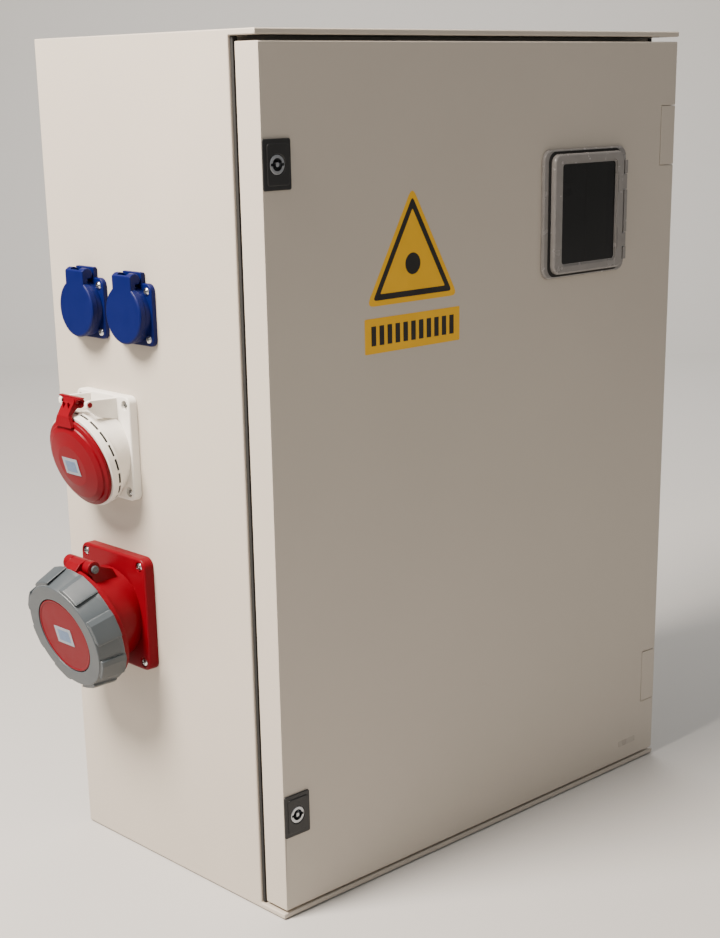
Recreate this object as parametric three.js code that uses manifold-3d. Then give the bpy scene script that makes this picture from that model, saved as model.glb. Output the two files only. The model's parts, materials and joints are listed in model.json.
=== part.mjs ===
// Portable power distribution box: a folded sheet-steel enclosure with an overlay door,
// four flap-lidded sockets on its left side and modular switchgear inside.
// Millimetres, +Z up. The origin is the centre of the body's underside, the door faces -Y
// and the sockets are on the -X side.
import * as THREE from 'three';
import { mergeVertices } from 'three/addons/utils/BufferGeometryUtils.js';
import Module from 'manifold-3d';

const wasm = await Module();
wasm.setup();

// ---------- driving dimensions ----------
const GAP = 0.3; // between pieces that touch or are screwed together
const RUN = 0.4; // radial play of a turning piece
const FINE = 24; // sides of a large round
const PLAIN = 16; // of a middling one
const SMALL = 8; // of a screw hole or pin

const BOX_WIDTH = 500;
const BOX_HEIGHT = 700;
const BODY_DEPTH = 250;
const SHEET = 2;
const LIP_REACH = 30; // how far the top and bottom lips stand forward of the side panels
const LIP_THICK = 4.5; // hemmed edge of a lip
const RIM_WIDTH = 28; // side panel's inward fold, out to the gutter upstand
const UPSTAND_HEIGHT = 19;

const DOOR_GAP_REAR = 4.5;
const DOOR_DEPTH = 26;
const DOOR_SIDE_INSET = 2.3;
const DOOR_TOP_GAP = 4.1;
const DOOR_BOTTOM_GAP = 2.5;
const HINGE_INSET = 7.7; // hinge pin's distance in from the door's edge

const HINGE_FROM_END = 80.7; // hinge centre from the door's top or bottom edge
const HINGE_COVER_HEIGHT = 52.4;
const HINGE_COVER_WIDTH = 20.7;
const HINGE_PIN_RADIUS = 2.2;
const KNUCKLE_RADIUS = 5;
const PIN_FROM_DOOR_FACE = 15.5;

const LOCK_FROM_TOP = 85.6; // lock centres from the door's top and bottom edges
const LOCK_FROM_BOTTOM = 83.8;
const LOCK_WIDTH = 27;
const LOCK_HEIGHT = 36.6;
const LOCK_AXIS_INSET = 13.3; // lock axis from the door's left edge
const LOCK_DEPTH = 15.5;
const LOCK_PROUD = 1.5;
const LOCK_HOLE_RIGHT = 22; // far edge of the door's cut-out, from the door's left edge
const LOCK_FLANGE = 1.6; // how far the face plate covers the door above and below
const KEY_RADIUS = 7.2;
const CAM_STANDOFF = 3.2; // from the housing's rear to the cam
const KEEPER_CLEAR = 7.5; // keeper lip's edge from the lock axis
const LIP_OVERLAP = 8.5;
const CAM_REACH = 11;
const CAM_THICK = 3;

const WINDOW_FROM_EDGE = 129.9; // window's centre from the door's hinged edge
const WINDOW_FROM_TOP = 141.4; // and from its top edge
const WINDOW_WIDTH = 111.6;
const WINDOW_HEIGHT = 108;
const WINDOW_PROUD = 3;
const WINDOW_SPIGOT = 5; // how far the frame's flange covers the door round its cut-out
const FLAP_THICK = 4.6;
const PANE_THICK = 2.4;

const PLATE_MARGIN = 45; // mounting plate's edge from the body's outside
const PLATE_THICK = 2.5;
const PLATE_STANDOFF = 12.5; // mounting plate's rear face from the rear panel
const STUD_RADIUS = 4;
const STUD_LENGTH = 25;
const STUD_EDGE = 20;

const MODULE = 18; // one switchgear module
const DEVICE_HEIGHT = 85;
const DEVICE_BODY_DEPTH = 44;
const NOSE_HEIGHT = 45;
const NOSE_DEPTH = 20;
const NOSE_CLEARANCE = 10; // front of the switchgear behind the body's front
const DEVICES = [
  { name: 'breaker_16_left', modules: 1 },
  { name: 'breaker_16_right', modules: 1 },
  { name: 'breaker_32', modules: 3 },
  { name: 'breaker_63', modules: 3 },
  { name: 'residual_switch', modules: 4, testButton: true }, // this one is behind the window
];
const RAIL_HEIGHT = 35;
const RAIL_DEPTH = 7.5;
const RAIL_THICK = 1.4;
const RAIL_SPARE = 33; // rail's length beyond the row at each end

const SOCKET_TILT_32 = 15;
const SOCKET_TILT_63 = 14;
const SCHUKO_PITCH_GAP = 15.8; // between the flanges of the two small sockets
const GLAND_UP = 150;
const TERMINAL_UP = 150;
const DUCT_BELOW_ROW = 145;
const GLAND_BORE = 16;
const GLAND_THREAD = 25;

// ---------- derived places ----------
const LEFT = -BOX_WIDTH / 2;
const RIGHT = BOX_WIDTH / 2;
const REAR = BODY_DEPTH / 2;
const FRONT = -BODY_DEPTH / 2;
const LIP_FRONT = FRONT - LIP_REACH;
const DOOR_REAR = FRONT - DOOR_GAP_REAR;
const DOOR_FRONT = DOOR_REAR - DOOR_DEPTH;
const DOOR_LEFT = LEFT + DOOR_SIDE_INSET;
const DOOR_RIGHT = RIGHT - DOOR_SIDE_INSET;
const DOOR_TOP = BOX_HEIGHT - LIP_THICK - DOOR_TOP_GAP;
const DOOR_BOTTOM = LIP_THICK + DOOR_BOTTOM_GAP;
const HINGE_CENTRES = [DOOR_TOP - HINGE_FROM_END, DOOR_BOTTOM + HINGE_FROM_END];
const LOCK_CENTRES = [DOOR_TOP - LOCK_FROM_TOP, DOOR_BOTTOM + LOCK_FROM_BOTTOM];
const WINDOW_X = DOOR_RIGHT - WINDOW_FROM_EDGE;
const WINDOW_Z = DOOR_TOP - WINDOW_FROM_TOP;
const FLAP_WIDTH = WINDOW_WIDTH - 16.6;
const FLAP_HEIGHT = WINDOW_HEIGHT - 7;
const PANE_WIDTH = FLAP_WIDTH - 23;
const PANE_HEIGHT = FLAP_HEIGHT - 17;
const PLATE_WIDTH = BOX_WIDTH - 2 * PLATE_MARGIN;
const PLATE_HEIGHT = BOX_HEIGHT - 2 * PLATE_MARGIN;
const PLATE_REAR = REAR - SHEET - PLATE_STANDOFF;
const PLATE_FRONT = PLATE_REAR - PLATE_THICK;
const HINGE_X = DOOR_RIGHT - HINGE_INSET;
const HINGE_Y = DOOR_FRONT + PIN_FROM_DOOR_FACE;
const LOCK_X = DOOR_LEFT + LOCK_AXIS_INSET;
const LOCK_HOLE_LEFT = DOOR_LEFT + SHEET + 1;
const LOCK_HOLE_HALF = LOCK_HEIGHT / 2 - LOCK_FLANGE;
const LOCK_REAR = DOOR_FRONT + LOCK_DEPTH;
const CAM_FRONT = LOCK_REAR + CAM_STANDOFF;
const KEEPER_LIP_FRONT = CAM_FRONT - 0.7 - SHEET;
const ROW_WIDTH = DEVICES.reduce((sum, { modules }) => sum + modules * MODULE, 0);
const ROW_X = WINDOW_X - ROW_WIDTH / 2 + DEVICES.at(-1).modules * MODULE / 2;
const ROW_Z = WINDOW_Z;
const NOSE_FRONT = FRONT + NOSE_CLEARANCE;
const RAIL_FRONT = NOSE_FRONT + NOSE_DEPTH + DEVICE_BODY_DEPTH + RUN;
const RAIL_HALF = ROW_WIDTH / 2 + RAIL_SPARE;
const GLAND_CENTRE = [0, GLAND_UP];

// ---------- finishes ----------
const finish = (color, roughness, metalness = 0) =>
  new THREE.MeshStandardMaterial({ color, roughness, metalness });
const POWDER_COAT = finish(0xcfcac2, 0.55);
const ZINC = finish(0xb9bcc0, 0.35, 0.9);
const BLACK_PLASTIC = finish(0x1b1b1d, 0.5);
const GREY_PLASTIC = finish(0x8b8e90, 0.5);
const WHITE_PLASTIC = finish(0xe6e2da, 0.45);
const BLUE_PLASTIC = finish(0x17307c, 0.4);
const RED_PLASTIC = finish(0xb01522, 0.35);
const RUBBER = finish(0x151515, 0.85);
const PALE_DEVICE = finish(0xdcdcd8, 0.5);
const SMOKED = new THREE.MeshStandardMaterial({
  color: 0x2a2c30, roughness: 0.1, transparent: true, opacity: 0.5,
});
const BRASS = finish(0xb99a4b, 0.35, 0.9);

// ---------- geometry helpers ----------
// A plain geometry becomes a solid for joining and cutting.
function toSolid(geometry) {
  let clean = geometry.clone();
  clean.deleteAttribute('normal');
  clean.deleteAttribute('uv');
  clean = mergeVertices(clean, 1e-4);
  const corners = [];
  const index = clean.index.array;
  for (let i = 0; i < index.length; i += 3) {
    const [a, b, c] = [index[i], index[i + 1], index[i + 2]];
    if (a !== b && b !== c && c !== a) corners.push(a, b, c);
  }
  return new wasm.Manifold(new wasm.Mesh({
    numProp: 3,
    vertProperties: new Float32Array(clean.attributes.position.array),
    triVerts: new Uint32Array(corners),
  }));
}

function toGeometry(solid) {
  const mesh = solid.getMesh();
  const geometry = new THREE.BufferGeometry();
  geometry.setAttribute('position', new THREE.BufferAttribute(mesh.vertProperties, 3));
  geometry.setIndex(new THREE.BufferAttribute(mesh.triVerts, 1));
  return geometry;
}

const join = (first, ...rest) =>
  toGeometry(rest.reduce((sum, piece) => sum.add(toSolid(piece)), toSolid(first)));
const cut = (base, ...tools) =>
  toGeometry(tools.reduce((left, tool) => left.subtract(toSolid(tool)), toSolid(base)));

// A box given by its two limits on each axis.
function slab(x0, x1, y0, y1, z0, z1) {
  const box = new THREE.BoxGeometry(x1 - x0, y1 - y0, z1 - z0);
  return box.translate((x0 + x1) / 2, (y0 + y1) / 2, (z0 + z1) / 2);
}

// Turns a shape drawn in the plane across an axis: x reads (y, z), y reads (x, z), z reads (x, y).
const TURNED = {
  x: new THREE.Matrix4().makeBasis(
    new THREE.Vector3(0, 1, 0), new THREE.Vector3(0, 0, 1), new THREE.Vector3(1, 0, 0)),
  y: new THREE.Matrix4().makeBasis(
    new THREE.Vector3(1, 0, 0), new THREE.Vector3(0, 0, 1), new THREE.Vector3(0, -1, 0)),
  z: new THREE.Matrix4(),
};

function prism(axis, shape, from, to, curveSegments = 3) {
  const solid = new THREE.ExtrudeGeometry(shape, {
    depth: to - from, bevelEnabled: false, curveSegments,
  });
  solid.translate(0, 0, axis === 'y' ? -to : from);
  return solid.applyMatrix4(TURNED[axis]);
}

// A round bar along an axis; a and b are its centre in the plane across that axis.
function rod(axis, radius, from, to, a, b, segments = PLAIN) {
  const middle = (from + to) / 2;
  const solid = new THREE.CylinderGeometry(radius, radius, to - from, segments).rotateX(Math.PI / 2);
  return solid.translate(a, b, axis === 'y' ? -middle : middle).applyMatrix4(TURNED[axis]);
}

function outline(points) {
  return new THREE.Shape(points.map(([a, b]) => new THREE.Vector2(a, b)));
}

// A rectangle with round corners, centred on (a, b).
function roundedPlate(width, height, radius, a = 0, b = 0) {
  const [x0, x1] = [a - width / 2, a + width / 2];
  const [y0, y1] = [b - height / 2, b + height / 2];
  const shape = new THREE.Shape();
  shape.moveTo(x0 + radius, y0).lineTo(x1 - radius, y0);
  shape.absarc(x1 - radius, y0 + radius, radius, -Math.PI / 2, 0);
  shape.absarc(x1 - radius, y1 - radius, radius, 0, Math.PI / 2);
  shape.absarc(x0 + radius, y1 - radius, radius, Math.PI / 2, Math.PI);
  shape.absarc(x0 + radius, y0 + radius, radius, Math.PI, Math.PI * 1.5);
  return shape;
}

// A turned piece about +Z from a profile of [radius, z] points. Its faces are made to point out.
function turned(profile, segments = FINE) {
  const points = profile.map(([r, z]) => new THREE.Vector2(r, z));
  const solid = new THREE.LatheGeometry(points, segments).rotateX(Math.PI / 2);
  const area = profile.reduce((sum, [r, z], i) => {
    const [nextR, nextZ] = profile[(i + 1) % profile.length];
    return sum + (nextR * z - r * nextZ);
  }, 0);
  if (area < 0) return solid;
  const index = solid.index.array;
  for (let i = 0; i < index.length; i += 3) [index[i], index[i + 1]] = [index[i + 1], index[i]];
  return solid;
}

const drum = (radius, from, to, segments = FINE) => rod('z', radius, from, to, 0, 0, segments);

const model = new THREE.Group();

function place(name, geometry, material, parent = model) {
  const mesh = new THREE.Mesh(geometry, material);
  mesh.name = name;
  parent.add(mesh);
  return mesh;
}

// ---------- enclosure ----------
// A rectangular ring that runs round the front opening, offset inward from the box's outside.
function frontRing(offset, thick, y0, y1) {
  const outer = slab(LEFT + offset, RIGHT - offset, y0, y1, offset, BOX_HEIGHT - offset);
  const inset = offset + thick;
  return cut(outer, slab(LEFT + inset, RIGHT - inset, y0 - 1, y1 + 1, inset, BOX_HEIGHT - inset));
}

const studs = [];
for (const side of [-1, 1]) {
  for (const z of [-1, 1]) {
    studs.push([side * (PLATE_WIDTH / 2 - STUD_EDGE),
      BOX_HEIGHT / 2 + z * (PLATE_HEIGHT / 2 - STUD_EDGE)]);
  }
}

// Side sockets: centre along Y and Z, flange size and the hole behind it.
const SCHUKO = {
  flange: 50, flangeThick: 4, screws: 38, collarRadius: 23.2, collarFront: 9.4,
  rearRadius: 21.5, rearDepth: 42, cavityRadius: 19.8, cavityDepth: 9,
  lidRadius: 23.75, lidThick: 5.5, hoodWidth: 25, hoodTop: 33.6, pinUp: 27.5, pinOut: 10.4,
};
const CEE32 = {
  width: 75, height: 88, thick: 8, screwsX: 62, screwsZ: 73, rearRadius: 31, rearDepth: 48,
  lidRadius: 39, collarRadius: 41, axisUp: -4, rimAt: 25.5,
};
const CEE63 = {
  width: 92, height: 100, thick: 10, screwsX: 77, screwsZ: 85, rearRadius: 38, rearDepth: 58,
  ringRadius: 55.4, ringFront: 50.4, axisUp: -1.1, faceAt: 55.5,
};
const SCHUKO_Y = REAR - 56.8;
const SCHUKO_Z = BOX_HEIGHT - 213;
const SCHUKO_HOLE = SCHUKO.rearRadius + 0.8;
const SOCKET_PLACES = {
  schuko_rear: { y: SCHUKO_Y, z: SCHUKO_Z, hole: SCHUKO_HOLE },
  schuko_front: { y: SCHUKO_Y - SCHUKO.flange - SCHUKO_PITCH_GAP, z: SCHUKO_Z, hole: SCHUKO_HOLE },
  cee32: { y: REAR - 76.5, z: BOX_HEIGHT - 326, hole: CEE32.rearRadius + 1 },
  cee63: { y: REAR - 78.3, z: BOX_HEIGHT - 468.5, hole: CEE63.rearRadius + 1 },
};

// Keeper welded to the rim below a lock: the turned cam goes behind its lip.
function lockKeeper(lockZ) {
  const [x0, x1] = [LOCK_X - 8.5, LOCK_X + 9];
  const foot = FRONT + SHEET / 2;
  return [
    slab(x0, x1, FRONT - SHEET, foot, lockZ - 32, lockZ - KEEPER_CLEAR - LIP_OVERLAP),
    slab(x0, x1, KEEPER_LIP_FRONT, foot, lockZ - KEEPER_CLEAR - LIP_OVERLAP - SHEET,
      lockZ - KEEPER_CLEAR - LIP_OVERLAP),
    slab(x0, x1, KEEPER_LIP_FRONT, KEEPER_LIP_FRONT + SHEET, lockZ - KEEPER_CLEAR - LIP_OVERLAP - 1,
      lockZ - KEEPER_CLEAR),
  ];
}

function enclosureShell() {
  const wrap = cut(
    slab(LEFT, RIGHT, FRONT, REAR, 0, BOX_HEIGHT),
    slab(LEFT + SHEET, RIGHT - SHEET, FRONT - 1, REAR - SHEET, SHEET, BOX_HEIGHT - SHEET));
  const lips = [0, BOX_HEIGHT - LIP_THICK].map((z) =>
    slab(LEFT, RIGHT, LIP_FRONT, FRONT + SHEET, z, z + LIP_THICK));
  const rim = frontRing(SHEET / 2, RIM_WIDTH + SHEET / 2, FRONT, FRONT + SHEET);
  const upstand = frontRing(RIM_WIDTH, SHEET, FRONT - UPSTAND_HEIGHT, FRONT + SHEET);
  const pegs = studs.flatMap(([x, z]) => [
    rod('y', STUD_RADIUS, REAR - SHEET - STUD_LENGTH, REAR - SHEET / 2, x, z, SMALL),
    rod('y', STUD_RADIUS + 3, PLATE_REAR + GAP, REAR - SHEET / 2, x, z, SMALL),
  ]);
  const holes = Object.values(SOCKET_PLACES).map(({ y, z, hole }) =>
    rod('x', hole, LEFT - 1, LEFT + SHEET + 1, y, z, FINE));
  const glandHole = rod('x', GLAND_THREAD + GAP, RIGHT - SHEET - 1, RIGHT + 1, ...GLAND_CENTRE, FINE);
  const keepers = LOCK_CENTRES.flatMap(lockKeeper);
  return cut(join(wrap, ...lips, rim, upstand, ...pegs, ...keepers), ...holes, glandHole);
}

function mountingPlate() {
  const plate = slab(-PLATE_WIDTH / 2, PLATE_WIDTH / 2, PLATE_FRONT, PLATE_REAR,
    (BOX_HEIGHT - PLATE_HEIGHT) / 2, (BOX_HEIGHT + PLATE_HEIGHT) / 2);
  const holes = studs.map(([x, z]) =>
    rod('y', STUD_RADIUS + GAP, PLATE_FRONT - 1, PLATE_REAR + 1, x, z, SMALL));
  return cut(plate, ...holes);
}

place('enclosure_shell', enclosureShell(), POWDER_COAT);
place('mounting_plate', mountingPlate(), ZINC);

// ---------- rails, brackets and switchgear ----------
// Top-hat rail: its back at y = back, brims toward the front.
function topHatRail(x0, x1, back, z) {
  const half = RAIL_HEIGHT / 2;
  const base = 12.5;
  const front = back - RAIL_DEPTH;
  const t = RAIL_THICK;
  const section = outline([
    [front, z - half], [front + t, z - half], [front + t, z - base - t], [back, z - base - t],
    [back, z + base + t], [front + t, z + base + t], [front + t, z + half], [front, z + half],
    [front, z + base], [back - t, z + base], [back - t, z - base], [front, z - base],
  ]);
  return prism('x', section, x0, x1);
}

const RAIL_BACK = RAIL_FRONT + RAIL_DEPTH;
const BRACKET_THICK = 2;
const BRACKET_HALF_HEIGHT = 18;
const BRACKET_TAB = 20;

// Sheet column that carries one end of the raised rail; side is -1 on the left.
function railBracket(side) {
  const web = side * (RAIL_HALF + GAP);
  const outer = web + side * BRACKET_THICK;
  const foot = PLATE_FRONT - GAP;
  const head = RAIL_BACK + GAP;
  const inward = web - side * BRACKET_TAB;
  const outward = outer + side * BRACKET_TAB;
  const ends = (a, b) => [ROW_X + Math.min(a, b), ROW_X + Math.max(a, b)];
  const low = ROW_Z - BRACKET_HALF_HEIGHT;
  const high = ROW_Z + BRACKET_HALF_HEIGHT;
  return join(
    slab(...ends(web, outer), RAIL_FRONT - 10, foot, low, high),
    slab(...ends(inward, outer), head, head + BRACKET_THICK, low, high),
    slab(...ends(web, outward), foot - BRACKET_THICK, foot, low, high));
}

const LEVER_PIVOT_DEPTH = 6; // behind the nose's front
const LEVER_DRUM = 6.5;
const LEVER_TILT = 25;
const TEST_BUTTON_SIZE = 7;
const TEST_BUTTON_UP = 14;
const TEST_BUTTON_TRAVEL = 1.5;

function deviceBody(x0, x1, modules, leverHalf, testButton) {
  const z = ROW_Z;
  const shoulder = NOSE_FRONT + NOSE_DEPTH;
  const back = shoulder + DEVICE_BODY_DEPTH;
  const [tall, nose] = [DEVICE_HEIGHT / 2, NOSE_HEIGHT / 2];
  const side = outline([
    [back, z - tall], [shoulder, z - tall], [shoulder, z - nose], [NOSE_FRONT, z - nose],
    [NOSE_FRONT, z + nose], [shoulder, z + nose], [shoulder, z + tall], [back, z + tall],
  ]);
  const centre = (x0 + x1) / 2;
  const pocket = LEVER_DRUM + 1;
  const tools = [slab(centre - leverHalf - RUN, centre + leverHalf + RUN, NOSE_FRONT - 1,
    NOSE_FRONT + LEVER_PIVOT_DEPTH + pocket, z - pocket - 1.5, z + pocket + 1.5)];
  for (let i = 0; i < modules; i += 1) {
    const x = x0 + (i + 0.5) * (x1 - x0) / modules;
    for (const way of [-1, 1]) {
      const screwZ = z + way * (nose + tall) / 2;
      tools.push(rod('y', 3.2, shoulder - 1, shoulder + 5, x, screwZ, SMALL));
      const end = z + way * tall;
      tools.push(rod('z', 3.6, Math.min(end, end - way * 8), Math.max(end + way, end), x,
        shoulder + 15, SMALL));
    }
  }
  if (testButton) {
    const half = TEST_BUTTON_SIZE / 2 + RUN;
    const x = x1 - MODULE / 2;
    tools.push(slab(x - half, x + half, NOSE_FRONT - 1, NOSE_FRONT + 6,
      z + TEST_BUTTON_UP - half, z + TEST_BUTTON_UP + half));
  }
  return cut(prism('x', side, x0, x1), ...tools);
}

// Toggle in its "on" place, tipped up by LEVER_TILT.
function deviceLever(centre, leverHalf) {
  const y = NOSE_FRONT + LEVER_PIVOT_DEPTH;
  const grip = slab(centre - leverHalf, centre + leverHalf, -17, 0, -2, 2);
  grip.rotateX(-LEVER_TILT * Math.PI / 180).translate(0, y, ROW_Z);
  return join(rod('x', LEVER_DRUM, centre - leverHalf, centre + leverHalf, y, ROW_Z, PLAIN), grip);
}

const deviceCentres = {};

function switchgearRow() {
  let x = ROW_X - ROW_WIDTH / 2;
  for (const { name, modules, testButton } of DEVICES) {
    deviceCentres[name] = x + modules * MODULE / 2;
    const [x0, x1] = [x + GAP / 2, x + modules * MODULE - GAP / 2];
    const leverHalf = modules === 1 ? 3.5 : testButton ? MODULE / 2 : modules * MODULE / 2 - 8;
    place(`${name}_body`, deviceBody(x0, x1, modules, leverHalf, testButton), PALE_DEVICE);
    place(`${name}_lever`, deviceLever((x0 + x1) / 2, leverHalf),
      testButton ? BLACK_PLASTIC : BLUE_PLASTIC);
    if (testButton) {
      const [half, buttonX] = [TEST_BUTTON_SIZE / 2, x1 - MODULE / 2];
      const buttonZ = ROW_Z + TEST_BUTTON_UP;
      place('test_button', slab(buttonX - half, buttonX + half, NOSE_FRONT - 2.2, NOSE_FRONT + 3.5,
        buttonZ - half, buttonZ + half), GREY_PLASTIC);
    }
    x += modules * MODULE;
  }
}

// Touch guard in front of the row: the noses pass through its slot.
function touchGuard() {
  const face = NOSE_FRONT + NOSE_DEPTH - 2;
  const half = RAIL_HALF + GAP + BRACKET_THICK + GAP;
  const t = 1.5;
  const [low, high] = [ROW_Z - 72, ROW_Z + 68];
  const slot = NOSE_HEIGHT / 2 + 1;
  const [left, right] = [ROW_X - half - t, ROW_X + half + t];
  const plate = cut(slab(left, right, face - t, face, low, high), slab(ROW_X - ROW_WIDTH / 2 - 1,
    ROW_X + ROW_WIDTH / 2 + 1, face - 5, face + 5, ROW_Z - slot, ROW_Z + slot));
  const folds = [low, high - t].map((z) => slab(left, right, face - t, face + 10, z, z + t));
  const cheeks = [left, right - t].map((x) => slab(x, x + t, face - t, RAIL_FRONT + 4,
    ROW_Z - BRACKET_HALF_HEIGHT, ROW_Z + BRACKET_HALF_HEIGHT));
  return join(plate, ...folds, ...cheeks);
}

place('upper_rail', topHatRail(ROW_X - RAIL_HALF, ROW_X + RAIL_HALF, RAIL_BACK, ROW_Z), ZINC);
place('rail_bracket_left', railBracket(-1), ZINC);
place('rail_bracket_right', railBracket(1), ZINC);
switchgearRow();
place('touch_guard', touchGuard(), PALE_DEVICE);

const TERMINAL_PITCH = 12;
const TERMINAL_START = 60;
const TERMINALS = [
  { name: 'phase_terminals', count: 3, material: GREY_PLASTIC },
  { name: 'neutral_terminal', count: 1, material: BLUE_PLASTIC },
  { name: 'earth_terminal', count: 1, material: finish(0x5c9a3a, 0.5) },
];

// A run of feed-through terminals: one moulding with a groove between neighbours.
function terminalRun(x0, count) {
  const rear = PLATE_FRONT - GAP - RAIL_DEPTH - RUN;
  const section = outline([
    [rear, TERMINAL_UP - 24], [rear - 30, TERMINAL_UP - 24], [rear - 44, TERMINAL_UP - 13],
    [rear - 44, TERMINAL_UP + 13], [rear - 30, TERMINAL_UP + 24], [rear, TERMINAL_UP + 24],
  ]);
  const width = count * TERMINAL_PITCH - GAP;
  const tools = [];
  for (let i = 0; i < count; i += 1) {
    const x = x0 + (i + 0.5) * TERMINAL_PITCH - GAP / 2;
    for (const way of [-1, 1]) {
      tools.push(rod('y', 2.8, rear - 45, rear - 36, x, TERMINAL_UP + way * 8, SMALL));
    }
    if (i > 0) {
      const groove = x0 + i * TERMINAL_PITCH - GAP / 2;
      tools.push(slab(groove - 0.4, groove + 0.4, rear - 46, rear - 6, TERMINAL_UP - 30,
        TERMINAL_UP + 30));
    }
  }
  return cut(prism('x', section, x0, x0 + width), ...tools);
}

let terminalX = TERMINAL_START;
for (const { name, count, material } of TERMINALS) {
  place(name, terminalRun(terminalX, count), material);
  terminalX += count * TERMINAL_PITCH;
}
place('lower_rail', topHatRail(TERMINAL_START - 20, terminalX + 20, PLATE_FRONT - GAP, TERMINAL_UP),
  ZINC);

// Earth bar on two feet, with a clamp screw hole at each pitch.
function earthBar() {
  const [x0, x1, z] = [-150, 10, 110];
  const y = PLATE_FRONT - GAP;
  const holes = [];
  for (let x = x0 + 16; x < x1 - 10; x += 16) holes.push(rod('y', 2.6, y - 31, y - 15, x, z, SMALL));
  return join(cut(slab(x0, x1, y - 28, y - 18, z - 6, z + 6), ...holes),
    slab(x0, x0 + 8, y - 19, y, z - 6, z + 6), slab(x1 - 8, x1, y - 19, y, z - 6, z + 6));
}

// Slotted wiring duct along the mounting plate.
function wiringDuct() {
  const [half, z, wall] = [PLATE_WIDTH / 2 - 30, ROW_Z - DUCT_BELOW_ROW, 1.6];
  const [y0, y1] = [PLATE_FRONT - GAP - 55, PLATE_FRONT - GAP];
  const slots = [];
  for (let x = -half + 16; x < half - 12; x += 25) {
    slots.push(slab(x, x + 9, y0 - 1, y1 - 14, z - 25, z + 25));
  }
  const trough = cut(slab(-half, half, y0, y1, z - 20, z + 20),
    slab(-half - 1, half + 1, y0 - 1, y1 - wall, z - 20 + wall, z + 20 - wall));
  return cut(trough, ...slots);
}

place('earth_bar', earthBar(), BRASS);
place('wiring_duct', wiringDuct(), GREY_PLASTIC);

// ---------- door ----------
const HALF_COVER = HINGE_COVER_HEIGHT / 2;

function doorPanel() {
  const tray = cut(
    slab(DOOR_LEFT, DOOR_RIGHT, DOOR_FRONT, DOOR_REAR, DOOR_BOTTOM, DOOR_TOP),
    slab(DOOR_LEFT + SHEET, DOOR_RIGHT - SHEET, DOOR_FRONT + SHEET, DOOR_REAR + 1,
      DOOR_BOTTOM + SHEET, DOOR_TOP - SHEET));
  const hingeNotches = HINGE_CENTRES.map((z) =>
    slab(DOOR_RIGHT - HINGE_COVER_WIDTH, DOOR_RIGHT + 1, DOOR_FRONT - 1, DOOR_REAR + 1,
      z - HALF_COVER, z + HALF_COVER));
  const lockNotches = LOCK_CENTRES.map((z) =>
    slab(LOCK_HOLE_LEFT, DOOR_LEFT + LOCK_HOLE_RIGHT, DOOR_FRONT - 1, DOOR_FRONT + SHEET + 1,
      z - LOCK_HOLE_HALF, z + LOCK_HOLE_HALF));
  const opening = prism('y', roundedPlate(WINDOW_WIDTH - 2 * WINDOW_SPIGOT,
    WINDOW_HEIGHT - 2 * WINDOW_SPIGOT, 5, WINDOW_X, WINDOW_Z), DOOR_FRONT - 1, DOOR_FRONT + 5);
  return cut(tray, ...hingeNotches, ...lockNotches, opening);
}

place('door_panel', doorPanel(), POWDER_COAT);
place('door_gasket', frontRing(RIM_WIDTH + SHEET / 2 - 4, 8, DOOR_FRONT + SHEET + GAP,
  FRONT - UPSTAND_HEIGHT - GAP), RUBBER);

// Door half of a hinge: cover plate flush with the door's face, a plate behind it and two knuckles.
function hingeDoorLeaf(z) {
  const face = DOOR_FRONT + 3;
  const plate = DOOR_FRONT + SHEET + GAP;
  const cover = slab(DOOR_RIGHT - HINGE_COVER_WIDTH + RUN, DOOR_RIGHT - GAP, DOOR_FRONT, face,
    z - HALF_COVER + RUN, z + HALF_COVER - RUN);
  const backing = slab(HINGE_X - 11, HINGE_X + 4, plate, plate + SHEET, z - 38, z + 38);
  const knuckles = [-1, 1].flatMap((way) => {
    const [low, high] = [Math.min(way * 10.5, way * 24), Math.max(way * 10.5, way * 24)];
    return [rod('z', KNUCKLE_RADIUS, z + low, z + high, HINGE_X, HINGE_Y, 12),
      slab(HINGE_X - 4, HINGE_X + 4, face - 1, HINGE_Y, z + low, z + high)];
  });
  return cut(join(cover, backing, ...knuckles),
    rod('z', HINGE_PIN_RADIUS + RUN, z - 30, z + 30, HINGE_X, HINGE_Y, 12));
}

// Body half: a plate on the rim and one knuckle on a short arm.
function hingeBodyLeaf(z) {
  const rear = FRONT - GAP;
  const half = 9.8;
  return cut(
    join(slab(HINGE_X - 14, HINGE_X + 3, rear - 2.2, rear, z - 21, z + 21),
      slab(HINGE_X - 4.5, HINGE_X + 3, HINGE_Y, rear - 1, z - half, z + half),
      rod('z', KNUCKLE_RADIUS, z - half, z + half, HINGE_X, HINGE_Y, 12)),
    rod('z', HINGE_PIN_RADIUS + RUN, z - 30, z + 30, HINGE_X, HINGE_Y, 12));
}

const hingePin = (z) => join(
  rod('z', HINGE_PIN_RADIUS, z - 25, z + 25, HINGE_X, HINGE_Y, 12),
  rod('z', HINGE_PIN_RADIUS + 1.6, z - 26.2, z - 24.3, HINGE_X, HINGE_Y, 12));

// Black lock housing in a cut-out beside the door's edge, with a wider face plate.
function lockHousing(z) {
  const half = LOCK_HEIGHT / 2;
  const face = slab(DOOR_LEFT, DOOR_LEFT + LOCK_WIDTH, DOOR_FRONT - LOCK_PROUD, DOOR_FRONT - GAP,
    z - half, z + half);
  const body = slab(LOCK_HOLE_LEFT + RUN, DOOR_LEFT + LOCK_HOLE_RIGHT - RUN, DOOR_FRONT - LOCK_PROUD,
    LOCK_REAR, z - LOCK_HOLE_HALF + RUN, z + LOCK_HOLE_HALF - RUN);
  return cut(join(face, body),
    rod('y', KEY_RADIUS + GAP, DOOR_FRONT - 5, LOCK_REAR + 1, LOCK_X, z, FINE));
}

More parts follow.
